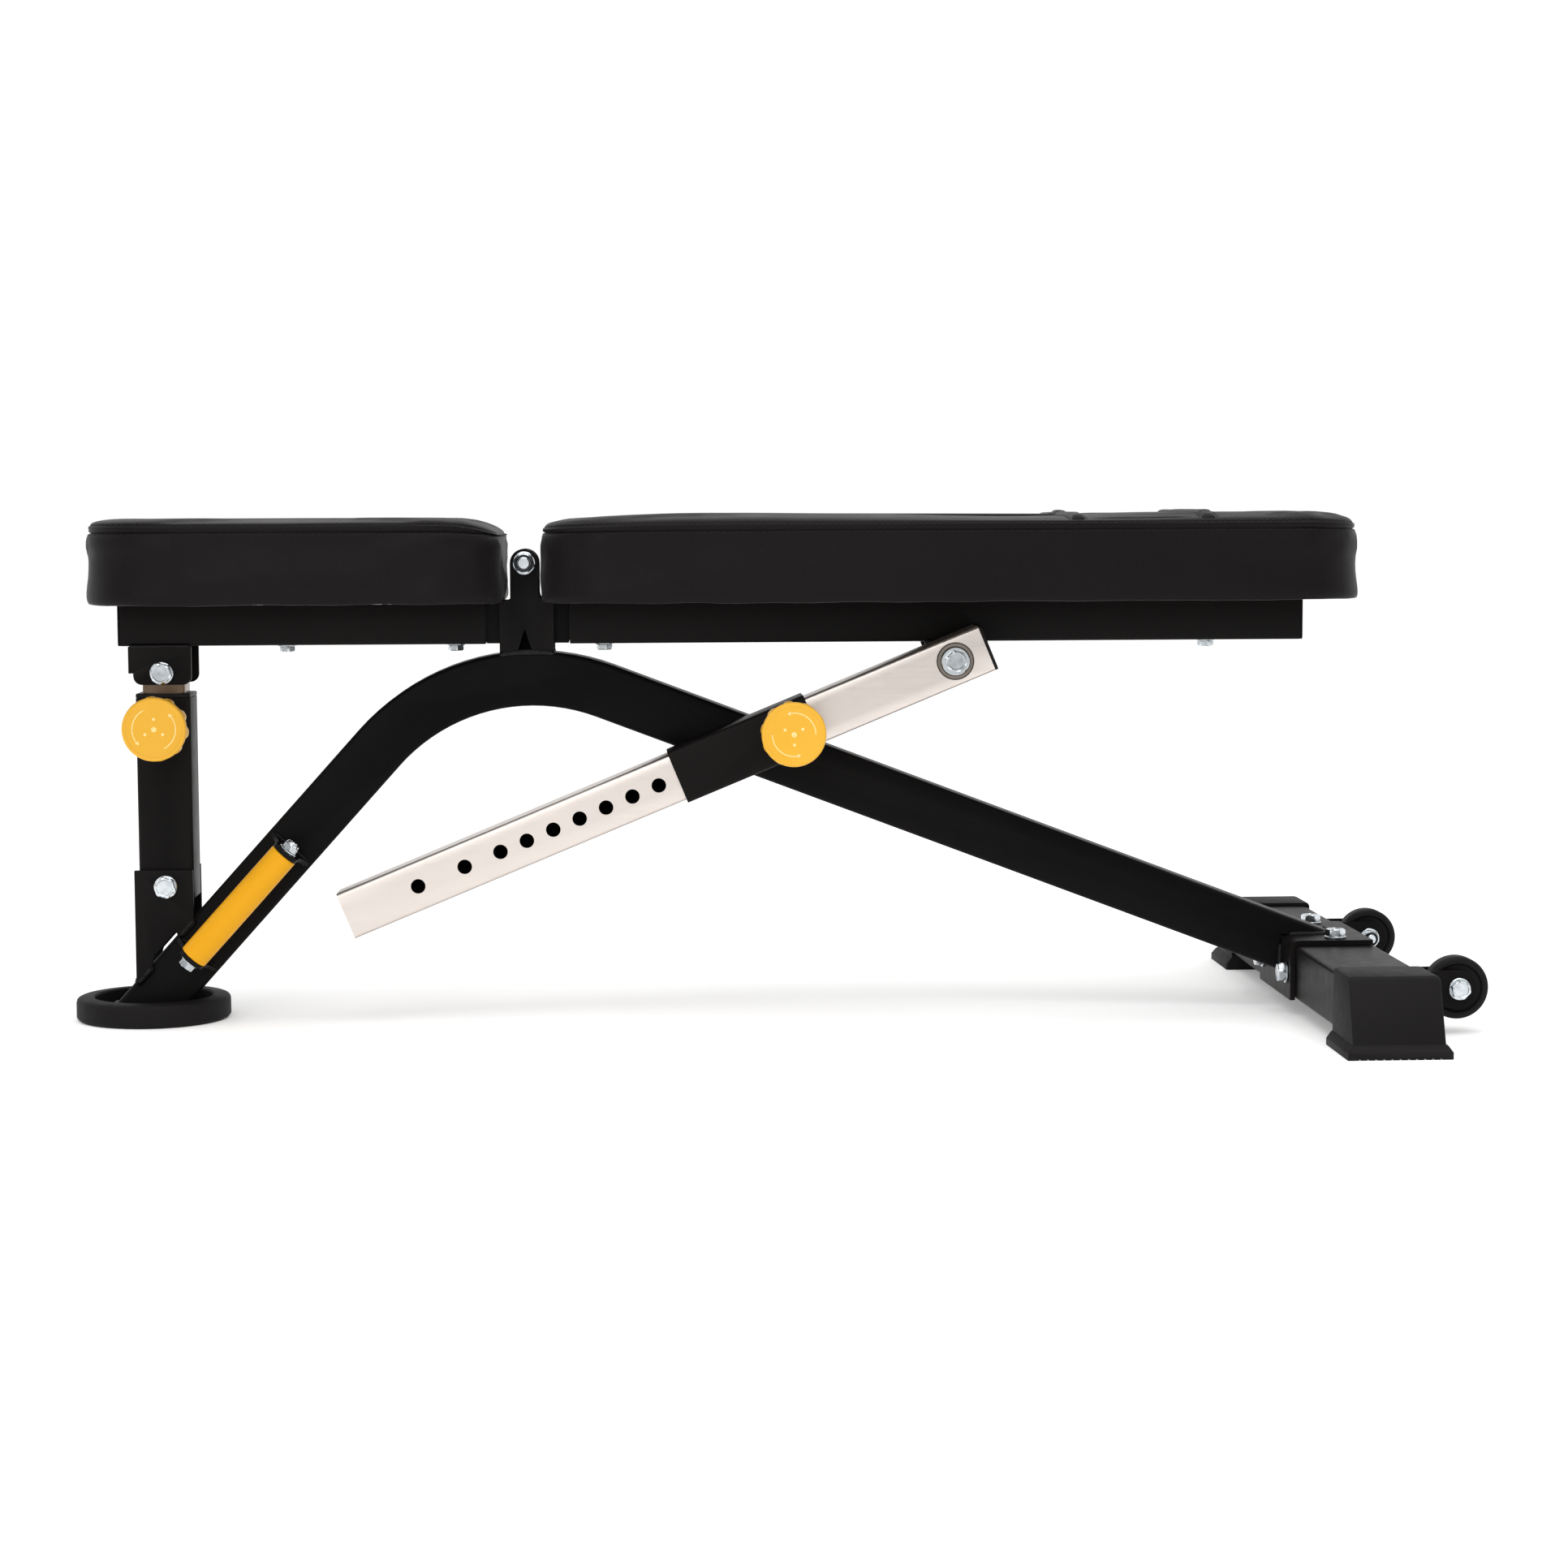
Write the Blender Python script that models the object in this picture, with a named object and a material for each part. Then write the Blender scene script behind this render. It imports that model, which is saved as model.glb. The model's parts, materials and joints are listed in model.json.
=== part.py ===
"""Adjustable weight bench: metres, +Z up, +X from the seat towards the wheels, +Y to the far side.

The adjusting strut, its sleeve, both pull knobs and the carry handle are on the -Y side.
The origin is on the floor, under the middle of the bench.
"""

from math import cos, pi, radians, sin, sqrt, tan

import bmesh
import bpy
from mathutils import Matrix, Vector
from mathutils.geometry import tessellate_polygon

# ---- driving dimensions -------------------------------------------------------------------

GAP = 0.0003                    # clearance between pieces that touch

# M12 and M10 bolts: shank radius, width across the flats of head and nut, washer radius
M12, M12_FLATS, M12_WASHER = 0.006, 0.018, 0.0105
M10, M10_FLATS, M10_WASHER = 0.005, 0.016, 0.0100

HINGE_X = -0.2200               # main hinge, shared by the seat and the back rest
HINGE_Z = 0.4212
EYE_RADIUS = 0.0131             # of the rounded plate ends round the hinge bolt
PLATE_Y = (0.0200, 0.0250)      # the hinge plates and the strut hangers, in from the tube's sides

# main frame tube: a leg down to the front foot, a bend, and a leg down to the rear foot
TUBE = 0.050
TUBE_WALL = 0.0025
TUBE_CORNER = 0.004
FRONT_LEG_ANGLE = radians(48.0)
REAR_LEG_ANGLE = radians(20.8)
BEND_RADIUS = 0.190
LEG_CROSSING_X = HINGE_X - 0.0479
LEG_CROSSING_Z = 0.3486

# round rubber front foot and the steel plate inside it
FOOT_X = HINGE_X - 0.3488
FOOT_RADIUS = 0.0708
FOOT_OPENING = 0.0540
FOOT_HEIGHT = 0.0222
FOOT_PLATE_Z = (0.0056, 0.0106)

# seat post
POST_X = HINGE_X - 0.3316
POST_FOOT_Z = 0.1258            # pivot bolt at its foot
POST_BOTTOM_Z = 0.1143
POST_TOP_Z = 0.2995
POST_COLLAR = 0.0040
POST_INNER = 0.0385
POST_INNER_Z = (0.1450, 0.3375)
POST_PIN_Z = 0.2744
POST_HOLE_PITCH = 0.0298
SEAT_BOLT_Z = 0.3225            # bolt through the clevis under the seat
CLEVIS_X = (POST_X - 0.0303, POST_X + 0.0269)
CLEVIS_Z = (0.3117, 0.3467)
CLEVIS_HALF = 0.0275
CLEVIS_WALL = 0.0040

# pad frames
FRAME_Z = (0.3470, 0.3870)
FRAME_WALL = 0.0022
FRAME_CORNER = 0.003
SEAT_FRAME_X = (HINGE_X - 0.3696, HINGE_X - 0.0360)
BACK_FRAME_X = (HINGE_X + 0.0413, HINGE_X + 0.7206)
PLUG_FLANGE = 0.0015

# pads
PAD_HALF_WIDTH = 0.140
PAD_CORNER = 0.055
PAD_BOTTOM = 0.3873
PAD_EDGE_TOP = 0.4500
PAD_TOP = 0.4655
BOARD = 0.012
BOARD_INSET = 0.006
SEAT_PAD_X = (HINGE_X - 0.3852, HINGE_X - 0.0192)
BACK_PAD_X = (HINGE_X + 0.0180, HINGE_X + 0.7558)
PAD_RELIEF_ANGLE = radians(36.5)  # both hinge ends stay below this line through the hinge

# strut and the sleeve that it slides in
STRUT = 0.0440
STRUT_WALL = 0.0020
STRUT_ANGLE = radians(22.35)
STRUT_Y = -0.0535
STRUT_BOLT_X = HINGE_X + 0.3925
STRUT_BOLT_Z = 0.3308
STRUT_ALONG = (-0.6012, 0.0309)  # its ends, measured along it from its bolt
STRUT_PIN = -0.1628
STRUT_HOLE_RADIUS = 0.00665
STRUT_HOLE_PITCH = 0.0260
STRUT_LAST_HOLES = (-0.4840, -0.5298)
SLEEVE = 0.050
SLEEVE_ALONG = (-0.2743, -0.1401)
SLEEVE_PIVOT = -0.2043

# pull pins and knobs
KNOB_RADIUS = 0.0289            # of the face; the lobes of the grip stand a little proud of it
KNOB_DEPTH = 0.021
KNOB_LOBES = 10
PIN_RADIUS = 0.005

# rear foot
CROSS_X = (HINGE_X + 0.7090, HINGE_X + 0.7840)
CROSS_Z = (0.0150, 0.0650)
CROSS_HALF = 0.2850
ANGLE_PLATE = 0.0047
ANGLE_HALF = 0.0700
CAP_X = HINGE_X + 0.7475
CAP_INNER = 0.2307
CAP_OUTER_TOP = 0.2920
CAP_OUTER_FOOT = 0.3125
CAP_FLANGE_HALF = 0.0455
CAP_FLANGE_OUTER = 0.3170
CAP_HALF = 0.0402
WHEEL_X = HINGE_X + 0.8315
WHEEL_Z = 0.0410
WHEEL_RADIUS = 0.0281
WHEEL_Y = 0.1725
WHEEL_WIDTH = 0.020
WHEEL_PLATE_RADIUS = 0.0165

# carry handle, measured up the front leg from the point level with HANDLE_ZERO
HANDLE_RADIUS = 0.0130
HANDLE_Y = -0.058
HANDLE_ALONG = (-0.1320, -0.0063)
HANDLE_FLANGE = 0.004
HANDLE_ZERO = (HINGE_X - 0.2156, 0.1624)

BLACK_STEEL = ((0.010, 0.009, 0.009), 0.42, 0.0)
BLACK_PLASTIC = ((0.016, 0.015, 0.015), 0.55, 0.0)
RUBBER = ((0.028, 0.026, 0.026), 0.75, 0.0)
ZINC = ((0.62, 0.65, 0.68), 0.30, 1.0)
CHROME = ((0.80, 0.78, 0.76), 0.12, 1.0)
YELLOW = ((0.90, 0.48, 0.05), 0.45, 0.0)
LEATHER = ((0.017, 0.016, 0.016), 0.50, 0.0)
PLYWOOD = ((0.10, 0.07, 0.045), 0.80, 0.0)


# ---- outlines -----------------------------------------------------------------------------

def arc(cx, cy, radius, start, end, steps):
    """Points on a circle, from the angle start to the angle end in degrees."""
    turns = [radians(start + (end - start) * i / steps) for i in range(steps + 1)]
    return [(cx + radius * cos(a), cy + radius * sin(a)) for a in turns]


def circle(cx, cy, radius, steps=24):
    return arc(cx, cy, radius, 0, 360, steps)[:-1]


def rounded_rectangle(x0, x1, y0, y1, radius, steps=3):
    corners = ((x1, y1, -1, -1, 0), (x0, y1, 1, -1, 90), (x0, y0, 1, 1, 180), (x1, y0, -1, 1, 270))
    points = []
    for x, y, sx, sy, start in corners:
        points += arc(x + sx * radius, y + sy * radius, radius, start, start + 90, steps)
    return points


def square(half, radius, steps=3):
    return rounded_rectangle(-half, half, -half, half, radius, steps)


def hexagon(across_flats, steps):
    """A hexagon sampled at steps even angles, so that it can be joined to a circle."""
    points = []
    for i in range(steps):
        angle = 2 * pi * i / steps
        nearest = (angle + pi / 6) % (pi / 3) - pi / 6
        reach = across_flats / 2 / cos(nearest)
        points.append((reach * cos(angle), reach * sin(angle)))
    return points


# ---- solids -------------------------------------------------------------------------------

def loft(rings, closed=False):
    """Joins rings of equally many points; the ends get a face each, or join up if closed."""
    mesh = bmesh.new()
    rows = [[mesh.verts.new(p) for p in ring] for ring in rings]
    pairs = list(zip(rows, rows[1:]))
    if closed:
        pairs.append((rows[-1], rows[0]))
    for low, high in pairs:
        for i in range(len(low)):
            j = (i + 1) % len(low)
            mesh.faces.new((low[i], low[j], high[j], high[i]))
    if not closed:
        mesh.faces.new(rows[0][::-1])
        mesh.faces.new(rows[-1])
    bmesh.ops.recalc_face_normals(mesh, faces=mesh.faces)
    return mesh


def plate(outline, low, high, axis, holes=()):
    """An outline extruded along an axis, with holes through it.

    Outline points are (x, z) for axis Y, (x, y) for axis Z and (y, z) for axis X.
    """
    def at(p, level):
        return {"X": (level, p[0], p[1]), "Y": (p[0], level, p[1]), "Z": (p[0], p[1], level)}[axis]

    loops = [list(outline)] + [list(hole) for hole in holes]
    mesh = bmesh.new()
    rows = [[[mesh.verts.new(at(p, level)) for p in loop] for loop in loops] for level in (low, high)]
    flat = [[Vector((p[0], p[1], 0.0)) for p in loop] for loop in loops]
    for row in rows:
        verts = [v for loop in row for v in loop]
        for triangle in tessellate_polygon(flat):
            mesh.faces.new([verts[i] for i in triangle])
    for bottom, top in zip(*rows):
        for i in range(len(bottom)):
            j = (i + 1) % len(bottom)
            mesh.faces.new((bottom[i], bottom[j], top[j], top[i]))
    bmesh.ops.recalc_face_normals(mesh, faces=mesh.faces)
    return mesh


def box(x0, x1, y0, y1, z0, z1):
    return plate(((x0, y0), (x1, y0), (x1, y1), (x0, y1)), z0, z1, "Z")


def turned(profile, centre, axis, steps=24):
    """Turns a profile of (radius, distance along axis) points; it is a ring if no radius is 0."""
    axis = Vector(axis).normalized()
    across = axis.orthogonal().normalized()
    up = axis.cross(across)
    mesh = bmesh.new()
    rows = []
    for radius, along in profile:
        middle = Vector(centre) + axis * along
        if radius == 0:
            rows.append([mesh.verts.new(middle)])
            continue
        row = []
        for i in range(steps):
            angle = 2 * pi * i / steps
            row.append(mesh.verts.new(middle + (across * cos(angle) + up * sin(angle)) * radius))
        rows.append(row)
    solid = profile[0][0] == 0 and profile[-1][0] == 0
    pairs = list(zip(rows, rows[1:]))
    if not solid:
        pairs.append((rows[-1], rows[0]))
    for low, high in pairs:
        for i in range(steps):
            j = (i + 1) % steps
            if len(low) == 1:
                mesh.faces.new((low[0], high[j], high[i]))
            elif len(high) == 1:
                mesh.faces.new((low[i], low[j], high[0]))
            else:
                mesh.faces.new((low[i], low[j], high[j], high[i]))
    bmesh.ops.recalc_face_normals(mesh, faces=mesh.faces)
    return mesh


def frame_at(origin, along, up):
    """A matrix whose Z runs along, whose Y is up and whose origin is given."""
    along = Vector(along).normalized()
    up = Vector(up).normalized()
    side = up.cross(along)
    return Matrix.Translation(Vector(origin)) @ Matrix((side, up, along)).transposed().to_4x4()


def swept(sections):
    """Rings from (matrix, outline) pairs."""
    return [[matrix @ Vector((p[0], p[1], 0.0)) for p in outline] for matrix, outline in sections]


def hollow(outer, inner):
    """A tube from its outer rings and its inner rings, open at both ends."""
    return loft(outer + inner[::-1], closed=True)


def square_tube(start, end, half, wall, corner, up=(0, 0, 1), half_up=None):
    """A straight tube between two points; half_up is half its size along up, where that differs."""
    start, end = Vector(start), Vector(end)
    tall = half if half_up is None else half_up
    outside = rounded_rectangle(-half, half, -tall, tall, corner)
    inner_corner = max(corner - wall, 0.0008)
    inside = rounded_rectangle(wall - half, half - wall, wall - tall, tall - wall, inner_corner)
    ends = [frame_at(p, end - start, up) for p in (start, end)]
    return hollow(swept([(m, outside) for m in ends]), swept([(m, inside) for m in ends]))


def fastener(centre, axis, layers, steps=18):
    """A bolt, nut or pin as one piece: layers of (kind, size, from, to) along the axis.

    Kind hex takes the size across flats, and round takes the radius.
    """
    matrix = frame_at(centre, axis, Vector(axis).orthogonal())
    rings = []
    for kind, size, low, high in layers:
        shape = hexagon(size, steps) if kind == "hex" else circle(0, 0, size, steps)
        for level in (low, high):
            rings.append([matrix @ Vector((p[0], p[1], level)) for p in shape])
    return loft(rings)


# ---- objects ------------------------------------------------------------------------------

def material(name, finish):
    colour, roughness, metallic = finish
    made = bpy.data.materials.new(name)
    made.use_nodes = True
    shader = made.node_tree.nodes["Principled BSDF"]
    shader.inputs["Base Color"].default_value = (*colour, 1.0)
    shader.inputs["Roughness"].default_value = roughness
    shader.inputs["Metallic"].default_value = metallic
    made.diffuse_color = (*colour, 1.0)
    return made


def pivot(name, place, parent=None):
    """An empty on a joint's axis."""
    empty = bpy.data.objects.new(name, None)
    empty.empty_display_size = 0.02
    bpy.context.scene.collection.objects.link(empty)
    empty["at"] = place
    base = Vector(parent["at"]) if parent else Vector()
    empty.parent = parent
    empty.location = Vector(place) - base
    return empty


def part(name, mesh, finish, joint=None, sharp=35.0):
    """Makes a named object, with its origin on its joint's axis if it has a joint."""
    data = bpy.data.meshes.new(name)
    if joint:
        mesh.transform(Matrix.Translation(-Vector(joint["at"])))
    mesh.to_mesh(data)
    mesh.free()
    data.shade_smooth()
    data.set_sharp_from_angle(angle=radians(sharp))
    data.materials.append(material(name, finish))
    made = bpy.data.objects.new(name, data)
    bpy.context.scene.collection.objects.link(made)
    made.parent = joint
    return made


def reshape(target, mesh, operation="DIFFERENCE"):
    """Cuts mesh from an object, or keeps only what they share, or adds it."""
    data = bpy.data.meshes.new(target.name + "_tool")
    mesh.to_mesh(data)
    mesh.free()
    tool = bpy.data.objects.new(target.name + "_tool", data)
    bpy.context.scene.collection.objects.link(tool)
    tool.hide_render = True
    tool.display_type = "WIRE"
    change = target.modifiers.new("reshape", "BOOLEAN")
    change.operation = operation
    change.object = tool
    change.solver = "EXACT"
    return target


def drill(target, centre, axis, radius, length, steps=18):
    """Cuts a round hole, centred on a point."""
    profile = ((0, -length / 2), (radius, -length / 2), (radius, length / 2), (0, length / 2))
    return reshape(target, turned(profile, centre, axis, steps))


# ---- the main frame -----------------------------------------------------------------------

FRONT_DIRECTION = Vector((cos(FRONT_LEG_ANGLE), 0, sin(FRONT_LEG_ANGLE)))
REAR_DIRECTION = Vector((cos(REAR_LEG_ANGLE), 0, -sin(REAR_LEG_ANGLE)))
CROSSING = Vector((LEG_CROSSING_X, 0, LEG_CROSSING_Z))
BEND_ANGLE = FRONT_LEG_ANGLE + REAR_LEG_ANGLE
BEND_REACH = BEND_RADIUS * tan(BEND_ANGLE / 2)
SIDEWAYS = Vector((0, 1, 0))
BEND_CENTRE = CROSSING - FRONT_DIRECTION * BEND_REACH + FRONT_DIRECTION.cross(-SIDEWAYS) * BEND_RADIUS
STRUT_DIRECTION = Vector((cos(STRUT_ANGLE), 0, sin(STRUT_ANGLE)))
STRUT_BOLT = Vector((STRUT_BOLT_X, STRUT_Y, STRUT_BOLT_Z))


def on_strut(along, y=STRUT_Y):
    """The point at a distance along the strut's centre line from its bolt."""
    point = STRUT_BOLT + STRUT_DIRECTION * along
    return Vector((point.x, y, point.z))


def main_tube():
    """The bent tube that carries everything, cut to fit the front foot and the rear angle plate."""
    def station(point, direction):
        return frame_at(point, direction, SIDEWAYS.cross(direction))

    stations = [station(CROSSING - FRONT_DIRECTION * 0.50, FRONT_DIRECTION)]
    steps = 20
    for i in range(steps + 1):
        slope = FRONT_LEG_ANGLE - BEND_ANGLE * i / steps
        outwards = Vector((-sin(slope), 0, cos(slope)))
        stations.append(station(BEND_CENTRE + outwards * BEND_RADIUS, Vector((cos(slope), 0, sin(slope)))))
    stations.append(station(CROSSING + REAR_DIRECTION * 0.92, REAR_DIRECTION))
    outside = square(TUBE / 2, TUBE_CORNER)
    inside = square(TUBE / 2 - TUBE_WALL, TUBE_CORNER - TUBE_WALL)
    mesh = hollow(swept([(m, outside) for m in stations]), swept([(m, inside) for m in stations]))
    tube = part("main_tube", mesh, BLACK_STEEL)
    reshape(tube, box(-1, 0, -0.1, 0.1, -0.2, FOOT_PLATE_Z[1] + GAP))
    angle_x = CROSS_X[0] - GAP - ANGLE_PLATE - GAP
    angle_z = CROSS_Z[1] + GAP + ANGLE_PLATE + GAP
    reshape(tube, box(angle_x, 1, -0.1, 0.1, -0.2, angle_z))
    drill(tube, on_strut(SLEEVE_PIVOT, 0), SIDEWAYS, M12 + GAP, 0.12)
    return tube


def front_foot():
    plate_radius = FOOT_OPENING - GAP
    profile = ((0, FOOT_PLATE_Z[0]), (plate_radius, FOOT_PLATE_Z[0]), (plate_radius, FOOT_PLATE_Z[1]),
               (0, FOOT_PLATE_Z[1]))
    part("foot_plate", turned(profile, (FOOT_X, 0, 0), (0, 0, 1), 40), BLACK_STEEL)
    shoulder = arc(FOOT_RADIUS - 0.0045, FOOT_HEIGHT - 0.0052, 0.0045, 0, 80, 3)
    ledge = FOOT_PLATE_Z[0] - GAP
    rubber = ([(FOOT_OPENING - 0.008, 0.0), (FOOT_RADIUS - 0.0030, 0.0), (FOOT_RADIUS, 0.0032)] + shoulder
              + [(FOOT_OPENING + 0.0015, FOOT_HEIGHT), (FOOT_OPENING, FOOT_HEIGHT - 0.0015),
                 (FOOT_OPENING, ledge), (FOOT_OPENING - 0.008, ledge)])
    part("foot_ring", turned(rubber, (FOOT_X, 0, 0), (0, 0, 1), 44), RUBBER)


def leg_top_edge(x):
    """Height of the front leg's upper edge at x."""
    edge = CROSSING + Vector((-sin(FRONT_LEG_ANGLE), 0, cos(FRONT_LEG_ANGLE))) * TUBE / 2
    return edge.z + (x - edge.x) * tan(FRONT_LEG_ANGLE)


def post_brackets():
    """Two cheek plates welded on the front leg, which hold the foot of the seat post."""
    x0, x1 = POST_X - 0.0286, POST_X + 0.0249
    lap, slot = -0.004, 0.0042
    slot_x = (x0 + 0.0172, x0 + 0.0372)
    lower = ((x0, lap), (slot_x[0] - 0.003, lap), (slot_x[0], slot), (slot_x[1], slot),
             (slot_x[1] + 0.002, lap), (x1, lap))
    outline = [(x, leg_top_edge(x) + rise) for x, rise in lower] + [(x1, 0.1411), (x0, 0.1411)]
    hole = circle(POST_X, POST_FOOT_Z, M12 + GAP, 18)
    for side, sign in (("near", -1), ("far", 1)):
        y0, y1 = sorted((sign * 0.0255, sign * 0.0300))
        part("post_bracket_" + side, plate(outline, y0, y1, "Y", [hole]), BLACK_STEEL)
    bolt = fastener((POST_X, 0, POST_FOOT_Z), (0, 1, 0), (
        ("hex", M12_FLATS, -0.0385, -0.0318), ("round", M12_WASHER, -0.0318, -0.0303),
        ("round", M12, -0.0303, 0.0303), ("round", M12_WASHER, 0.0303, 0.0318),
        ("hex", M12_FLATS, 0.0318, 0.0410)))
    part("post_bolt", bolt, ZINC)


def hinge():
    """The two plates on top of the bend, and the bolt on which the seat and the back rest turn.

    The near plate has a small V notch in its lower edge.
    """
    neck_x = (HINGE_X - 0.0232, HINGE_X + 0.0269)
    stem = EYE_RADIUS
    top = BEND_RADIUS + TUBE / 2 + GAP

    def seat_height(x):
        return BEND_CENTRE.z + sqrt(top ** 2 - (x - BEND_CENTRE.x) ** 2)

    bottom_x = (neck_x[0], HINGE_X - 0.0152, HINGE_X - 0.0067, HINGE_X + 0.0065, HINGE_X + 0.0160, neck_x[1])
    bottom = [(x, seat_height(x)) for x in bottom_x]
    right = [(neck_x[1], 0.3845)] + arc(HINGE_X + stem + 0.007, 0.3938, 0.007, -90, -180, 4)
    left = [(HINGE_X - stem, 0.3868), (neck_x[0], 0.3868)]
    top_edge = right + arc(HINGE_X, HINGE_Z, stem, 0, 180, 12) + left
    hole = circle(HINGE_X, HINGE_Z, M12 + GAP, 18)
    for side, sign, notch in (("near", -1, [(HINGE_X, 0.3610)]), ("far", 1, [])):
        y0, y1 = sorted(sign * y for y in PLATE_Y)
        outline = bottom[:3] + notch + bottom[3:] + top_edge
        part("hinge_plate_" + side, plate(outline, y0, y1, "Y", [hole]), BLACK_STEEL)
    bolt = fastener((HINGE_X, 0, HINGE_Z), (0, 1, 0), (
        ("round", 0.0056, -0.0385, -0.0355), ("hex", M12_FLATS, -0.0355, -0.0270),
        ("round", 0.0104, -0.0270, -0.0253), ("round", M12, -0.0253, 0.0253),
        ("round", 0.0104, 0.0253, 0.0268), ("hex", M12_FLATS, 0.0268, 0.0338)))
    part("hinge_bolt", bolt, ZINC)
    ring = ((M12 + GAP, -0.0091), (0.0110, -0.0091), (0.0110, 0.0091), (M12 + GAP, 0.0091))
    part("hinge_bush", turned(ring, (HINGE_X, 0, HINGE_Z), (0, 1, 0)), ZINC)


def carry_handle():
    """A round grip between two flanges on the near face of the front leg, on one long bolt."""
    base = Vector((HANDLE_ZERO[0], 0, HANDLE_ZERO[1]))
    across = Vector((-sin(FRONT_LEG_ANGLE), 0, cos(FRONT_LEG_ANGLE)))
    face, eye = -TUBE / 2 - GAP, HANDLE_Y

    def flange_outline():
        waist, foot, low = 0.0120, 0.0225, eye + 0.004
        side = [(waist + (foot - waist) * (t / 4) ** 2.2, low + (face - low) * t / 4) for t in range(5)]
        tip = [(x, eye + y) for x, y in arc(0, 0, HANDLE_RADIUS, 180, 360, 10)]
        return tip + side + [(-x, y) for x, y in reversed(side)]

    outline = flange_outline()
    hole = circle(0, eye, 0.004 + GAP, 16)
    low, high = HANDLE_ALONG
    spans = (("lower", low - GAP - HANDLE_FLANGE, low - GAP),
             ("upper", high + GAP, high + GAP + HANDLE_FLANGE))
    place = Matrix.Translation(base) @ Matrix((across, SIDEWAYS, FRONT_DIRECTION)).transposed().to_4x4()
    for name, start, end in spans:
        mesh = plate(outline, start, end, "Z", [hole])
        mesh.transform(place)
        bmesh.ops.recalc_face_normals(mesh, faces=mesh.faces)
        part("handle_flange_" + name, mesh, BLACK_STEEL)
    centre = base + SIDEWAYS * HANDLE_Y
    shell = ((0.0095, low), (HANDLE_RADIUS, low), (HANDLE_RADIUS, high), (0.0095, high))
    part("handle_grip", turned(shell, centre, FRONT_DIRECTION, 28), YELLOW)
    start, end = spans[0][1] - GAP, spans[1][2] + GAP
    bolt = fastener(centre, FRONT_DIRECTION, (
        ("hex", 0.0140, start - 0.0075, start - 0.0018), ("round", 0.0088, start - 0.0018, start),
        ("round", 0.0040, start, end), ("round", 0.0088, end, end + 0.0018),
        ("hex", 0.0140, end + 0.0018, end + 0.0085)))
    part("handle_bolt", bolt, ZINC)


# ---- the rear foot ------------------------------------------------------------------------

def rear_foot():
    middle_x, middle_z = sum(CROSS_X) / 2, sum(CROSS_Z) / 2
    half, tall = (CROSS_X[1] - CROSS_X[0]) / 2, (CROSS_Z[1] - CROSS_Z[0]) / 2
    mesh = square_tube((middle_x, -CROSS_HALF, middle_z), (middle_x, CROSS_HALF, middle_z), half, TUBE_WALL,
                       TUBE_CORNER, half_up=tall)
    cross = part("cross_tube", mesh, BLACK_STEEL)
    outer_x, outer_z = CROSS_X[0] - GAP - ANGLE_PLATE, CROSS_Z[1] + GAP + ANGLE_PLATE
    bend = 0.0085
    inner = bend - ANGLE_PLATE
    outline = ([(outer_x, 0.0145)] + arc(outer_x + bend, outer_z - bend, bend, 180, 90, 5)
               + [(HINGE_X + 0.7812, outer_z), (HINGE_X + 0.7812, outer_z - ANGLE_PLATE)]
               + arc(outer_x + bend, outer_z - bend, inner, 90, 180, 4) + [(outer_x + ANGLE_PLATE, 0.0145)])
    angle = part("rear_angle_plate", plate(outline, -ANGLE_HALF, ANGLE_HALF, "Y"), BLACK_STEEL)
    bolt_x, bolt_z, bolt_y = HINGE_X + 0.7495, 0.0385, 0.0535
    layers = (("round", M10, -0.020, GAP), ("round", M10_WASHER, GAP, 0.0021),
              ("hex", M10_FLATS, 0.0021, 0.0088))
    for side, y in (("near", -bolt_y), ("far", bolt_y)):
        for target in (cross, angle):
            drill(target, (bolt_x, y, outer_z - 0.005), (0, 0, 1), M10 + GAP, 0.03)
            drill(target, (outer_x + 0.005, y, bolt_z), (1, 0, 0), M10 + GAP, 0.03)
        part("rear_bolt_top_" + side, fastener((bolt_x, y, outer_z), (0, 0, 1), layers), ZINC)
        part("rear_bolt_front_" + side, fastener((outer_x, y, bolt_z), (-1, 0, 0), layers), ZINC)


def end_cap(side, sign):
    """A rubber cap over one end of the cross tube: a sloping end face and a grooved, flanged foot."""
    def ring(half, outer, z, corner):
        y0, y1 = sorted((sign * CAP_INNER, sign * outer))
        return [(x, y, z) for x, y in rounded_rectangle(CAP_X - half, CAP_X + half, y0, y1, corner)]

    sections = ((CAP_FLANGE_HALF, CAP_FLANGE_OUTER, 0.0, 0.001),
                (CAP_FLANGE_HALF, CAP_FLANGE_OUTER, 0.0060, 0.001),
                (CAP_HALF + 0.0012, CAP_OUTER_FOOT + 0.0012, 0.0118, 0.001),
                (CAP_HALF, CAP_OUTER_FOOT, 0.0125, 0.002),
                (CAP_HALF - 0.0004, CAP_OUTER_TOP + 0.0015, 0.0650, 0.0025),
                (CAP_HALF - 0.0018, CAP_OUTER_TOP - 0.0010, 0.0674, 0.0025),
                (CAP_HALF - 0.0040, CAP_OUTER_TOP - 0.0035, 0.0682, 0.0025))
    cap = part("end_cap_" + side, loft([ring(*section) for section in sections]), RUBBER)
    y0, y1 = sorted((sign * 0.15, sign * (CROSS_HALF + GAP)))
    reshape(cap, box(CROSS_X[0] - GAP, CROSS_X[1] + GAP, y0, y1, CROSS_Z[0] - GAP, CROSS_Z[1] + GAP))
    grooves = bmesh.new()
    data = bpy.data.meshes.new("grooves")
    y0, y1 = sorted((sign * 0.29, sign * 0.34))
    for i in range(11):
        x = CAP_X + (i - 5) * 0.0070
        groove = box(x - 0.0011, x + 0.0011, y0, y1, -0.001, 0.0012)
        groove.to_mesh(data)
        groove.free()
        grooves.from_mesh(data)
    bpy.data.meshes.remove(data)
    reshape(cap, grooves)


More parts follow.
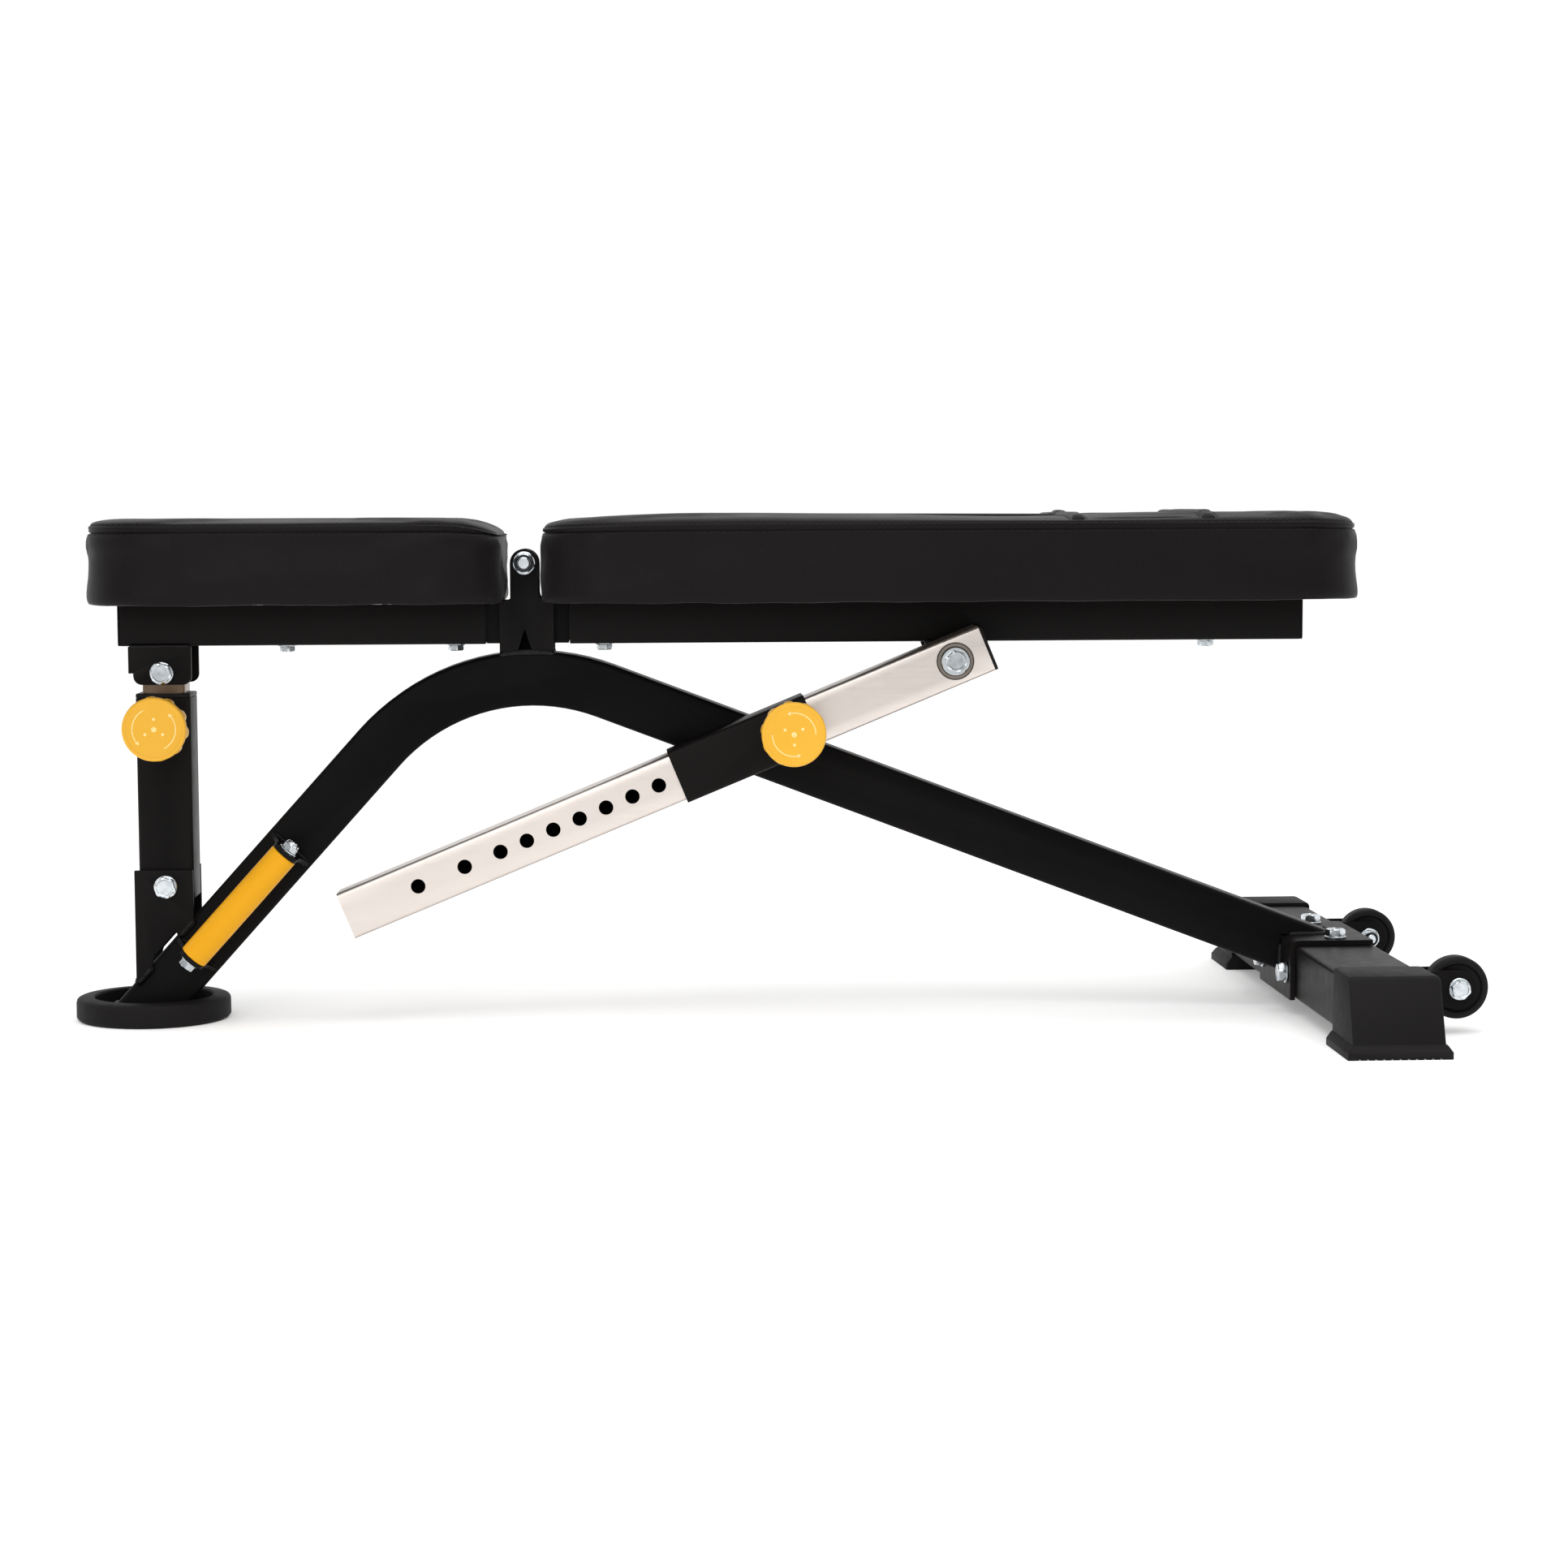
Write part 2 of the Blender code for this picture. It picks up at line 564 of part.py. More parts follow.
def wheel_unit(side, sign):
    """A forked bracket on the back of the cross tube, its wheel, and the bolt that is the axle."""
    inner, outer = WHEEL_Y - WHEEL_WIDTH / 2 - 0.0015, WHEEL_Y + WHEEL_WIDTH / 2 + 0.0015
    plate_wall, web = 0.003, CROSS_X[1] + GAP
    plan = [(web, inner - plate_wall), (WHEEL_X + WHEEL_PLATE_RADIUS, inner - plate_wall),
            (WHEEL_X + WHEEL_PLATE_RADIUS, inner), (web + plate_wall, inner), (web + plate_wall, outer),
            (WHEEL_X + WHEEL_PLATE_RADIUS, outer), (WHEEL_X + WHEEL_PLATE_RADIUS, outer + plate_wall),
            (web, outer + plate_wall)]
    plan = [(x, sign * y) for x, y in plan]
    low, high = WHEEL_Z - WHEEL_PLATE_RADIUS, WHEEL_Z + WHEEL_PLATE_RADIUS
    bracket = part("wheel_bracket_" + side, plate(plan, low, high, "Z"), BLACK_STEEL)
    outline = [(web - 0.01, high + 0.01), (web - 0.01, low - 0.01), (WHEEL_X - 0.03, low - 0.01)]
    outline += [(WHEEL_X - 0.004, low - 0.0001)] + arc(WHEEL_X, WHEEL_Z, WHEEL_PLATE_RADIUS, -90, 90, 10)
    outline += [(WHEEL_X - 0.004, high + 0.0001), (WHEEL_X - 0.03, high + 0.01)]
    y0, y1 = sorted((sign * 0.1, sign * 0.25))
    reshape(bracket, plate(outline, y0, y1, "Y"), "INTERSECT")
    centre = Vector((WHEEL_X, sign * WHEEL_Y, WHEEL_Z))
    drill(bracket, centre, SIDEWAYS, M10 + GAP, 0.08)
    axle = pivot("axle_" + side, tuple(centre))
    w, r = WHEEL_WIDTH / 2, WHEEL_RADIUS
    tyre = ((0.0055, -w), (r - 0.003, -w), (r - 0.0007, -w + 0.0012), (r, -w + 0.0035), (r, w - 0.0035),
            (r - 0.0007, w - 0.0012), (r - 0.003, w), (0.0055, w))
    part("wheel_" + side, turned(tyre, centre, SIDEWAYS, 36), RUBBER, axle)
    head, nut = outer + plate_wall - WHEEL_Y + GAP, WHEEL_Y - inner + plate_wall + GAP
    bolt = fastener(centre, (0, sign, 0), (
        ("round", M10, -nut - 0.0100, -nut - 0.0082), ("hex", M10_FLATS, -nut - 0.0082, -nut - 0.0014),
        ("round", 0.0095, -nut - 0.0014, -nut), ("round", M10, -nut, head),
        ("round", 0.0092, head, head + 0.0012), ("hex", M10_FLATS, head + 0.0012, head + 0.0072)))
    part("wheel_bolt_" + side, bolt, ZINC)


# ---- frames, ears and pads ----------------------------------------------------------------

def pad_frame(name, ends, plug_end, joint):
    """A pad frame tube, with a plastic plug in the end away from the hinge."""
    middle_z, tall = sum(FRAME_Z) / 2, (FRAME_Z[1] - FRAME_Z[0]) / 2
    mesh = square_tube((ends[0], 0, middle_z), (ends[1], 0, middle_z), TUBE / 2, FRAME_WALL,
                       FRAME_CORNER, half_up=tall)
    frame = part(name + "_frame", mesh, BLACK_STEEL, joint)
    sign = 1 if plug_end == ends[1] else -1
    flange = rounded_rectangle(-TUBE / 2, TUBE / 2, -tall, tall, FRAME_CORNER)
    inset = FRAME_WALL + GAP
    insert = rounded_rectangle(inset - TUBE / 2, TUBE / 2 - inset, inset - tall, tall - inset, 0.001)
    levels = ((insert, -0.015), (insert, GAP), (flange, GAP), (flange, GAP + PLUG_FLANGE))
    rings = [[(plug_end + sign * level, p[0], middle_z + p[1]) for p in shape] for shape, level in levels]
    part(name + "_frame_plug", loft(rings), BLACK_PLASTIC, joint)
    return frame


def ears(name, sign, level, joint):
    """Two plates from inside the frame's hinge end up to the hinge bolt; level is their inner |y|."""
    stem = EYE_RADIUS
    end = SEAT_FRAME_X[1] if sign < 0 else BACK_FRAME_X[0]
    reach = abs(end - HINGE_X)
    low, high = FRAME_Z[0] + FRAME_WALL + 0.0006, FRAME_Z[1] - FRAME_WALL - 0.0006
    outline = [(reach + 0.022, low), (reach + 0.022, high), (reach - 0.001, high),
               (reach - 0.001, FRAME_Z[1] - 0.0005)]
    if sign > 0:
        outline += arc(stem + 0.0045, 0.3912, 0.0045, -90, -180, 4)
    else:
        outline += [(stem + 0.004, FRAME_Z[1] - 0.0005), (stem, FRAME_Z[1] + 0.0015)]
    outline += [(x, HINGE_Z + z) for x, z in arc(0, 0, stem, 0, 180, 12)]
    outline += [(-stem, FRAME_Z[1]), (-0.0005, FRAME_Z[0] + 0.013), (0.0060, FRAME_Z[0] + 0.0004)]
    outline += [(reach - 0.001, FRAME_Z[0] + 0.0004), (reach - 0.001, low)]
    outline = [(HINGE_X + sign * x, z) for x, z in outline]
    hole = circle(HINGE_X, HINGE_Z, M12 + GAP, 18)
    for side, y in (("near", -1), ("far", 1)):
        y0, y1 = sorted((y * level, y * (level + 0.005)))
        part(name + "_ear_" + side, plate(outline, y0, y1, "Y", [hole]), BLACK_STEEL, joint)


def pad(name, ends, hinge_end, joint):
    """A plywood board and the padded cushion over it, cut back near the hinge so that pads can fold."""
    def ring(inset, z, radius):
        half = PAD_HALF_WIDTH - inset
        outline = rounded_rectangle(ends[0] + inset, ends[1] - inset, -half, half, radius, 6)
        return [(x, y, z) for x, y in outline]

    rings = [ring(0, PAD_BOTTOM, PAD_CORNER), ring(0, PAD_EDGE_TOP - 0.004, PAD_CORNER)]
    rings += [ring(inset, z, PAD_CORNER - inset / 2) for inset, z in (
        (0.0035, PAD_EDGE_TOP + 0.0075), (0.0150, 0.4608), (0.0400, 0.4641), (0.0750, PAD_TOP))]
    cushion = part(name + "_pad", loft(rings), LEATHER, joint)
    inner = ring(BOARD_INSET - GAP, 0, PAD_CORNER - BOARD_INSET)
    recess = loft([[(x, y, z) for x, y, _ in inner] for z in (PAD_BOTTOM - 0.01, PAD_BOTTOM + BOARD + GAP)])
    reshape(cushion, recess)
    sign = 1 if hinge_end > HINGE_X else -1
    slope = tan(PAD_RELIEF_ANGLE)
    start = abs(hinge_end - HINGE_X) - 0.01
    wedge = [(start, HINGE_Z + start * slope), (0.12, HINGE_Z + 0.12 * slope), (0.12, 0.60), (start, 0.60)]
    wedge = [(HINGE_X + sign * x, z) for x, z in wedge]
    reshape(cushion, plate(wedge, -0.2, 0.2, "Y"))
    outline = [(x, y) for x, y, _ in ring(BOARD_INSET, 0, PAD_CORNER - BOARD_INSET)]
    part(name + "_board", plate(outline, PAD_BOTTOM, PAD_BOTTOM + BOARD, "Z"), PLYWOOD, joint)


def seat_clevis(joint):
    """A bent channel under the front of the seat frame, closed on its front side."""
    x0, x1 = CLEVIS_X
    outer, inner = CLEVIS_HALF, CLEVIS_HALF - CLEVIS_WALL
    plan = [(x0, -outer), (x1, -outer), (x1, -inner), (x0 + CLEVIS_WALL, -inner),
            (x0 + CLEVIS_WALL, inner), (x1, inner), (x1, outer), (x0, outer)]
    clevis = part("seat_clevis", plate(plan, *CLEVIS_Z, "Z"), BLACK_STEEL, joint)
    low, high = CLEVIS_Z
    r = 0.0080
    step = x0 + CLEVIS_WALL + 0.0003
    left = [(x, z - 0.0001) for x, z in arc(step + r, low + r, r, 180, 270, 4)]
    right = [(x, z - 0.0001) for x, z in arc(x1 - r + 0.0001, low + r, r, 270, 360, 4)]
    side = ([(x0 - 0.01, high + 0.01), (x0 - 0.01, 0.3222), (step, 0.3222)] + left + right
            + [(x1 + 0.0001, high + 0.01)])
    reshape(clevis, plate(side, -0.05, 0.05, "Y"), "INTERSECT")
    drill(clevis, (POST_X, 0, SEAT_BOLT_Z), SIDEWAYS, M12 + GAP, 0.08)
    bolt = fastener((POST_X, 0, SEAT_BOLT_Z), (0, 1, 0), (
        ("hex", M12_FLATS, -0.0362, -0.0293), ("round", M12_WASHER, -0.0293, -0.0278),
        ("round", M12, -0.0278, 0.0278), ("round", M12_WASHER, 0.0278, 0.0293),
        ("hex", M12_FLATS, 0.0293, 0.0385)))
    part("clevis_bolt", bolt, ZINC, joint)


def strut_hanger(joint):
    """Two plates under the back frame, and the bolt that carries the strut beside them."""
    top = FRAME_Z[0] - GAP
    r = 0.0170
    left, right = HINGE_X + 0.3690, HINGE_X + 0.4285
    outline = [(left, top)] + arc(STRUT_BOLT_X, STRUT_BOLT_Z, r, 205, 335, 9) + [(right, top)]
    hole = circle(STRUT_BOLT_X, STRUT_BOLT_Z, M12 + GAP, 18)
    for side, sign in (("near", -1), ("far", 1)):
        y0, y1 = sorted(sign * y for y in PLATE_Y)
        part("strut_hanger_" + side, plate(outline, y0, y1, "Y", [hole]), BLACK_STEEL, joint)
    face = STRUT_Y - STRUT / 2 - 0.0014
    bolt = fastener((STRUT_BOLT_X, 0, STRUT_BOLT_Z), (0, 1, 0), (
        ("hex", M12_FLATS, face - 0.0085, face - 0.0018), ("round", 0.0128, face - 0.0018, face),
        ("round", M12, face, 0.0253), ("round", M12_WASHER, 0.0253, 0.0268),
        ("hex", M12_FLATS, 0.0268, 0.0360)))
    part("strut_bolt", bolt, ZINC, joint)


# ---- seat post, strut, sleeve and pull pins -------------------------------------------------

def seat_post(swing, slide):
    mesh = square_tube((POST_X, 0, POST_BOTTOM_Z), (POST_X, 0, POST_TOP_Z), TUBE / 2, TUBE_WALL,
                       TUBE_CORNER, up=(0, 1, 0))
    outer = part("post_outer", mesh, BLACK_STEEL, swing)
    drill(outer, (POST_X, 0, POST_FOOT_Z), SIDEWAYS, M12 + GAP, 0.08)
    drill(outer, (POST_X, -0.025, POST_PIN_Z), SIDEWAYS, PIN_RADIUS + GAP, 0.02)
    wall, slip = TUBE / 2 - TUBE_WALL - GAP, POST_INNER / 2 + GAP
    layers = ((TUBE / 2 - 0.0006, 0.003, POST_COLLAR), (TUBE / 2, 0.0035, POST_COLLAR - 0.0006),
              (TUBE / 2, 0.0035, GAP), (wall, 0.001, GAP), (wall, 0.001, -0.0175), (slip, 0.003, -0.0175),
              (slip, 0.003, POST_COLLAR))
    rings = [[(POST_X + x, y, POST_TOP_Z + rise) for x, y in square(half, corner)]
             for half, corner, rise in layers]
    part("post_collar", loft(rings, closed=True), BLACK_PLASTIC, swing)
    mesh = square_tube((POST_X, 0, POST_INNER_Z[0]), (POST_X, 0, POST_INNER_Z[1]), POST_INNER / 2,
                       0.002, 0.003, up=(0, 1, 0))
    inner = part("post_inner", mesh, CHROME, slide)
    for i in range(4):
        drill(inner, (POST_X, -0.019, POST_PIN_Z - i * POST_HOLE_PITCH), SIDEWAYS, PIN_RADIUS + 0.001, 0.01)
    drill(inner, (POST_X, 0, SEAT_BOLT_Z), SIDEWAYS, 0.0105, 0.08)


def pull_pin(name, face, centre, body, pull, turn):
    """A housing on the tube wall, the sprung pin in it, and the knob on the pin's end.

    Face is the y of the wall that the housing stands on; the pin points along Y.
    """
    x, z = centre
    mouth = 0.0227
    housing = ((0.0080, GAP), (0.0110, GAP), (0.0110, mouth - 0.001), (0.0100, mouth),
               (PIN_RADIUS + GAP, mouth), (PIN_RADIUS + GAP, 0.0192), (0.0080, 0.0192))
    part(name + "_pin_housing", turned(housing, (x, face, z), (0, -1, 0)), BLACK_STEEL, body)
    tip = -0.0054 if name == "post" else -0.0024
    pin = fastener((x, face, z), (0, -1, 0), (
        ("round", PIN_RADIUS - 0.0006, tip, tip + 0.0006), ("round", PIN_RADIUS, tip + 0.0006, 0.0009),
        ("round", 0.0076, 0.0009, 0.0029), ("round", PIN_RADIUS, 0.0029, 0.0525)), steps=20)
    part(name + "_pin", pin, ZINC, pull)
    back, front = 0.0385, 0.0385 + KNOB_DEPTH
    r = KNOB_RADIUS
    profile = ((PIN_RADIUS + GAP, 0.0232), (0.0105, 0.0232), (0.0115, 0.0240), (0.0120, back),
               (r - 0.0040, back), (r - 0.0010, back + 0.001), (r + 0.0004, back + 0.003),
               (r + 0.0004, front - 0.0075), (r, front - 0.0068), (r, front - 0.0014), (r - 0.0014, front),
               (0, front), (0, 0.0530), (PIN_RADIUS + GAP, 0.0530))
    lobed = {4: 0.5, 5: 1.0, 6: 1.0, 7: 1.0}

    def lobes(index, angle):
        return 1.0 - 0.052 * lobed.get(index, 0.0) * (1.0 - cos(KNOB_LOBES * angle))

    part(name + "_knob", knob_solid(profile, (x, face, z), lobes), YELLOW, turn)


def knob_solid(profile, centre, lobes):
    """The knob: turned from its hub's inside, out round the grip, over the face and into the blind bore."""
    steps = 40
    mesh = bmesh.new()
    rows = []
    for index, (radius, along) in enumerate(profile):
        y = centre[1] - along
        if radius == 0:
            rows.append([mesh.verts.new((centre[0], y, centre[2]))])
            continue
        row = []
        for i in range(steps):
            angle = 2 * pi * i / steps
            reach = radius * lobes(index, angle)
            row.append(mesh.verts.new((centre[0] + reach * cos(angle), y,
                                       centre[2] + reach * sin(angle))))
        rows.append(row)
    for low, high in zip(rows, rows[1:] + rows[:1]):
        for i in range(steps):
            j = (i + 1) % steps
            if len(low) == len(high) == 1:
                continue
            if len(low) == 1:
                mesh.faces.new((low[0], high[i], high[j]))
            elif len(high) == 1:
                mesh.faces.new((low[j], low[i], high[0]))
            else:
                mesh.faces.new((low[j], low[i], high[i], high[j]))
    bmesh.ops.recalc_face_normals(mesh, faces=mesh.faces)
    return mesh


def strut_and_sleeve(swing, slide):
    upright = Vector((-STRUT_DIRECTION.z, 0, STRUT_DIRECTION.x))
    mesh = square_tube(on_strut(STRUT_ALONG[0]), on_strut(STRUT_ALONG[1]), STRUT / 2, STRUT_WALL, 0.003,
                       up=upright)
    tube = part("strut", mesh, CHROME, swing)
    near = STRUT_Y - STRUT / 2
    holes = [STRUT_PIN - i * STRUT_HOLE_PITCH for i in range(12)] + list(STRUT_LAST_HOLES)
    for along in holes:
        drill(tube, on_strut(along, near), SIDEWAYS, STRUT_HOLE_RADIUS, 0.01, 20)
    drill(tube, STRUT_BOLT, SIDEWAYS, 0.0110 + GAP, 0.08, 24)
    bush = ((M12 + GAP, near - 0.0011), (0.0172, near - 0.0011), (0.0172, near - GAP),
            (0.0110, near - GAP), (0.0110, -0.0253), (M12 + GAP, -0.0253))
    part("strut_bush", turned(bush, (STRUT_BOLT_X, 0, STRUT_BOLT_Z), SIDEWAYS, 32), CHROME, swing)
    flange, insert = square(STRUT / 2, 0.003), square(STRUT / 2 - STRUT_WALL - GAP, 0.001)
    top, bottom = STRUT_ALONG[1], STRUT_ALONG[0]
    levels = ((insert, top - 0.014), (insert, top + GAP), (flange, top + GAP), (flange, top + 0.0030))
    rings = swept([(frame_at(on_strut(level), STRUT_DIRECTION, upright), shape) for shape, level in levels])
    part("strut_plug_upper", loft(rings), BLACK_PLASTIC, swing)
    levels = ((insert, bottom + 0.0004), (insert, bottom + 0.016))
    rings = swept([(frame_at(on_strut(level), STRUT_DIRECTION, upright), shape) for shape, level in levels])
    part("strut_plug_lower", loft(rings), BLACK_PLASTIC, swing)

    mesh = square_tube(on_strut(SLEEVE_ALONG[0]), on_strut(SLEEVE_ALONG[1]), SLEEVE / 2, 0.0025, 0.004,
                       up=upright)
    sleeve = part("sleeve", mesh, BLACK_STEEL, slide)
    drill(sleeve, on_strut(STRUT_PIN, STRUT_Y - SLEEVE / 2), SIDEWAYS, PIN_RADIUS + GAP, 0.02)
    far = STRUT_Y + SLEEVE / 2
    disc = ((0, far - 0.001), (0.0150, far - 0.001), (0.0150, -0.0272), (0, -0.0272))
    reshape(sleeve, turned(disc, on_strut(SLEEVE_PIVOT, 0), SIDEWAYS, 28), "UNION")
    stud = fastener(on_strut(SLEEVE_PIVOT, 0), (0, 1, 0), (
        ("round", 0.0150, -0.0267, -0.0253), ("round", M12, -0.0253, 0.0253),
        ("round", M12_WASHER, 0.0253, 0.0268), ("hex", M12_FLATS, 0.0268, 0.0350)), steps=24)
    part("sleeve_pivot", stud, ZINC)


# ---- assembly -----------------------------------------------------------------------------

def build():
    for old in list(bpy.data.objects):
        bpy.data.objects.remove(old, do_unlink=True)
    seat = pivot("seat_hinge", (HINGE_X, 0, HINGE_Z))
    back = pivot("back_hinge", (HINGE_X, 0, HINGE_Z))
    post_swing = pivot("post_swing", (POST_X, 0, POST_FOOT_Z))
    post_slide = pivot("post_slide", (POST_X, 0, SEAT_BOLT_Z), post_swing)
    post_pull = pivot("post_pin_pull", (POST_X, -TUBE / 2, POST_PIN_Z), post_swing)
    post_turn = pivot("post_knob_turn", (POST_X, -TUBE / 2, POST_PIN_Z), post_pull)
    strut_swing = pivot("strut_swing", tuple(STRUT_BOLT), back)
    pin_point = on_strut(STRUT_PIN, STRUT_Y - SLEEVE / 2)
    sleeve_slide = pivot("sleeve_slide", tuple(on_strut(SLEEVE_PIVOT)), strut_swing)
    strut_pull = pivot("strut_pin_pull", tuple(pin_point), sleeve_slide)
    strut_turn = pivot("strut_knob_turn", tuple(pin_point), strut_pull)

    main_tube()
    front_foot()
    post_brackets()
    hinge()
    carry_handle()
    rear_foot()
    for side, sign in (("near", -1), ("far", 1)):
        end_cap(side, sign)
        wheel_unit(side, sign)
    pad_frame("seat", SEAT_FRAME_X, SEAT_FRAME_X[0], seat)
    ears("seat", -1, 0.0147, seat)
    pad("seat", SEAT_PAD_X, SEAT_PAD_X[1], seat)
    seat_clevis(seat)
    pad_frame("back", BACK_FRAME_X, BACK_FRAME_X[1], back)
    ears("back", 1, 0.0094, back)
    pad("back", BACK_PAD_X, BACK_PAD_X[0], back)
    strut_hanger(back)
    seat_post(post_swing, post_slide)
    pull_pin("post", -TUBE / 2, (POST_X, POST_PIN_Z), post_swing, post_pull, post_turn)
    strut_and_sleeve(strut_swing, sleeve_slide)
    pull_pin("strut", STRUT_Y - SLEEVE / 2, (pin_point.x, pin_point.z), sleeve_slide, strut_pull, strut_turn)


build()
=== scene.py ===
"""Looks for the adjustable weight bench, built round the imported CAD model. Metres, +Z up.

The near side is -Y: it carries the strut, the sleeve, both knobs and the carry grip.
"""

import json
from bisect import bisect_left
from collections import namedtuple
from math import atan2, cos, exp, pi, radians, sin, sqrt, tan

import bmesh
import bpy
from mathutils import Matrix, Vector, noise
from mathutils.bvhtree import BVHTree


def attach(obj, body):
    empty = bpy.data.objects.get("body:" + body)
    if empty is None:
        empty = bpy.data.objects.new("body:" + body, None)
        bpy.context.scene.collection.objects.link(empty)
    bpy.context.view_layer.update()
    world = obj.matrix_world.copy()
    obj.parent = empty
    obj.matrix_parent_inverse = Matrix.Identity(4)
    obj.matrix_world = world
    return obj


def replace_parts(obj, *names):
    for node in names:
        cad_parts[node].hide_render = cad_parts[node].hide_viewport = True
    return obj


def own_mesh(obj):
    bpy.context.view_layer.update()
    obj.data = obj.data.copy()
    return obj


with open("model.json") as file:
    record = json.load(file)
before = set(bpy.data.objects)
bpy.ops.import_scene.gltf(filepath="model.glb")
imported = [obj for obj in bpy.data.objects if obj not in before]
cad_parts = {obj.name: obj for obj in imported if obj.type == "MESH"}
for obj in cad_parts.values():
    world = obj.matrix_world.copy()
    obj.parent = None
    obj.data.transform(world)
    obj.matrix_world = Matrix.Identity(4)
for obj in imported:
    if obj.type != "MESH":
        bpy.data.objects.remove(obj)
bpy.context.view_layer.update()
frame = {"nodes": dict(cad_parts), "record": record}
scene = bpy.context.scene

SIDEWAYS = Vector((0, 1, 0))
UP = Vector((0, 0, 1))

JOINTS = {joint["name"]: joint for joint in frame["record"]["behaviour"]["joints"]}


def joint_place(name):
    return Vector(JOINTS[name]["pos_m"])


HINGE = joint_place("back_angle")
HINGE_X = HINGE.x
POST_FOOT = joint_place("post_tilt")
POST_X = POST_FOOT.x
POST_PIN = joint_place("post_knob_turn")
STRUT_BOLT = joint_place("strut_turn")
STRUT_PIN = joint_place("strut_knob_turn")
WHEEL = joint_place("wheel_near_spin")
STRUT_SLOPE = atan2(STRUT_BOLT.z - STRUT_PIN.z, STRUT_BOLT.x - STRUT_PIN.x)
FRONT_SLOPE = radians(48.0)
REAR_SLOPE = radians(20.8)
FRONT_DIRECTION = Vector((cos(FRONT_SLOPE), 0, sin(FRONT_SLOPE)))
FRONT_ACROSS = Vector((-sin(FRONT_SLOPE), 0, cos(FRONT_SLOPE)))
STRUT_DIRECTION = Vector((cos(STRUT_SLOPE), 0, sin(STRUT_SLOPE)))
STRUT_ACROSS = Vector((-sin(STRUT_SLOPE), 0, cos(STRUT_SLOPE)))


# ---- materials ----------------------------------------------------------------------------

class Look:
    """A Principled material and short ways to add nodes to it."""

    def __init__(self, name, colour, roughness, metallic=0.0, specular=0.5):
        self.material = bpy.data.materials.new(name)
        self.material.use_nodes = True
        self.tree = self.material.node_tree
        self.shader = self.tree.nodes["Principled BSDF"]
        self.shader.inputs["Base Color"].default_value = (*colour, 1)
        self.shader.inputs["Roughness"].default_value = roughness
        self.shader.inputs["Metallic"].default_value = metallic
        self.shader.inputs["Specular IOR Level"].default_value = specular
        self.material.diffuse_color = (*colour, 1)
        self.place = self.tree.nodes.new("ShaderNodeTexCoord").outputs["Object"]
        self.normal = None

    def node(self, kind, inputs=None, **settings):
        made = self.tree.nodes.new(kind)
        for key, value in settings.items():
            setattr(made, key, value)
        for key, value in (inputs or {}).items():
            if isinstance(value, bpy.types.NodeSocket):
                self.tree.links.new(value, made.inputs[key])
            else:
                made.inputs[key].default_value = value
        return made

    def stretched(self, scale):
        """The object's own coordinates, scaled differently along each axis."""
        return self.node("ShaderNodeMapping", {"Vector": self.place, "Scale": scale}).outputs[0]

    def noise(self, scale, detail=3.0, roughness=0.55, where=None):
        inputs = {"Vector": where or self.place, "Scale": scale, "Detail": detail, "Roughness": roughness}
        return self.node("ShaderNodeTexNoise", inputs).outputs["Fac"]

    def cells(self, scale, feature="F1", randomness=1.0):
        inputs = {"Vector": self.place, "Scale": scale, "Randomness": randomness}
        return self.node("ShaderNodeTexVoronoi", inputs, feature=feature).outputs["Distance"]

    def ramp(self, value, low, high, to_low=0.0, to_high=1.0):
        inputs = {"Value": value, "From Min": low, "From Max": high, "To Min": to_low, "To Max": to_high}
        return self.node("ShaderNodeMapRange", inputs).outputs["Result"]

    def mix(self, factor, first, second):
        made = self.node("ShaderNodeMix", {"Factor": factor}, data_type="RGBA")
        made.inputs[6].default_value = (*first, 1) if isinstance(first, tuple) else (0, 0, 0, 1)
        if not isinstance(first, tuple):
            self.tree.links.new(first, made.inputs[6])
        made.inputs[7].default_value = (*second, 1)
        return made.outputs[2]

    def colour(self, output):
        self.tree.links.new(output, self.shader.inputs["Base Color"])

    def rough(self, output):
        self.tree.links.new(output, self.shader.inputs["Roughness"])

    def rough_between(self, smooth, coarse, scale, detail, top=0.7):
        """Roughness that wanders from smooth to coarse with a noise."""
        self.rough(self.ramp(self.noise(scale, detail), 0.3, top, smooth, coarse))

    def bump(self, height, strength, distance):
        inputs = {"Height": height, "Strength": strength, "Distance": distance}
        if self.normal is not None:
            inputs["Normal"] = self.normal
        self.normal = self.node("ShaderNodeBump", inputs).outputs["Normal"]
        self.tree.links.new(self.normal, self.shader.inputs["Normal"])

    def edge_wear(self, most):
        """Most on the object's raised edges, and 0 on its flat faces."""
        made = self.node("ShaderNodeNewGeometry")
        return self.ramp(made.outputs["Pointiness"], 0.52, 0.60, 0.0, most)

    def vector_math(self, operation, first, second, output=0):
        return self.node("ShaderNodeVectorMath", {0: first, 1: second}, operation=operation).outputs[output]

    def off_line(self, point, direction):
        """Distance from a plane through point, measured along direction, on either side."""
        offset = self.vector_math("SUBTRACT", self.place, point)
        reach = self.vector_math("DOT_PRODUCT", offset, direction, "Value")
        return self.node("ShaderNodeMath", {0: reach}, operation="ABSOLUTE").outputs[0]

    def square_core(self, point, across, half):
        """1 inside a square bar along a line through point and 0 outside it."""
        reaches = {0: self.off_line(point, across), 1: self.off_line(point, SIDEWAYS)}
        reach = self.node("ShaderNodeMath", reaches, operation="MAXIMUM").outputs[0]
        return self.ramp(reach, half, half - 0.0003)


def scaled(colour, factor):
    return tuple(channel * factor for channel in colour)


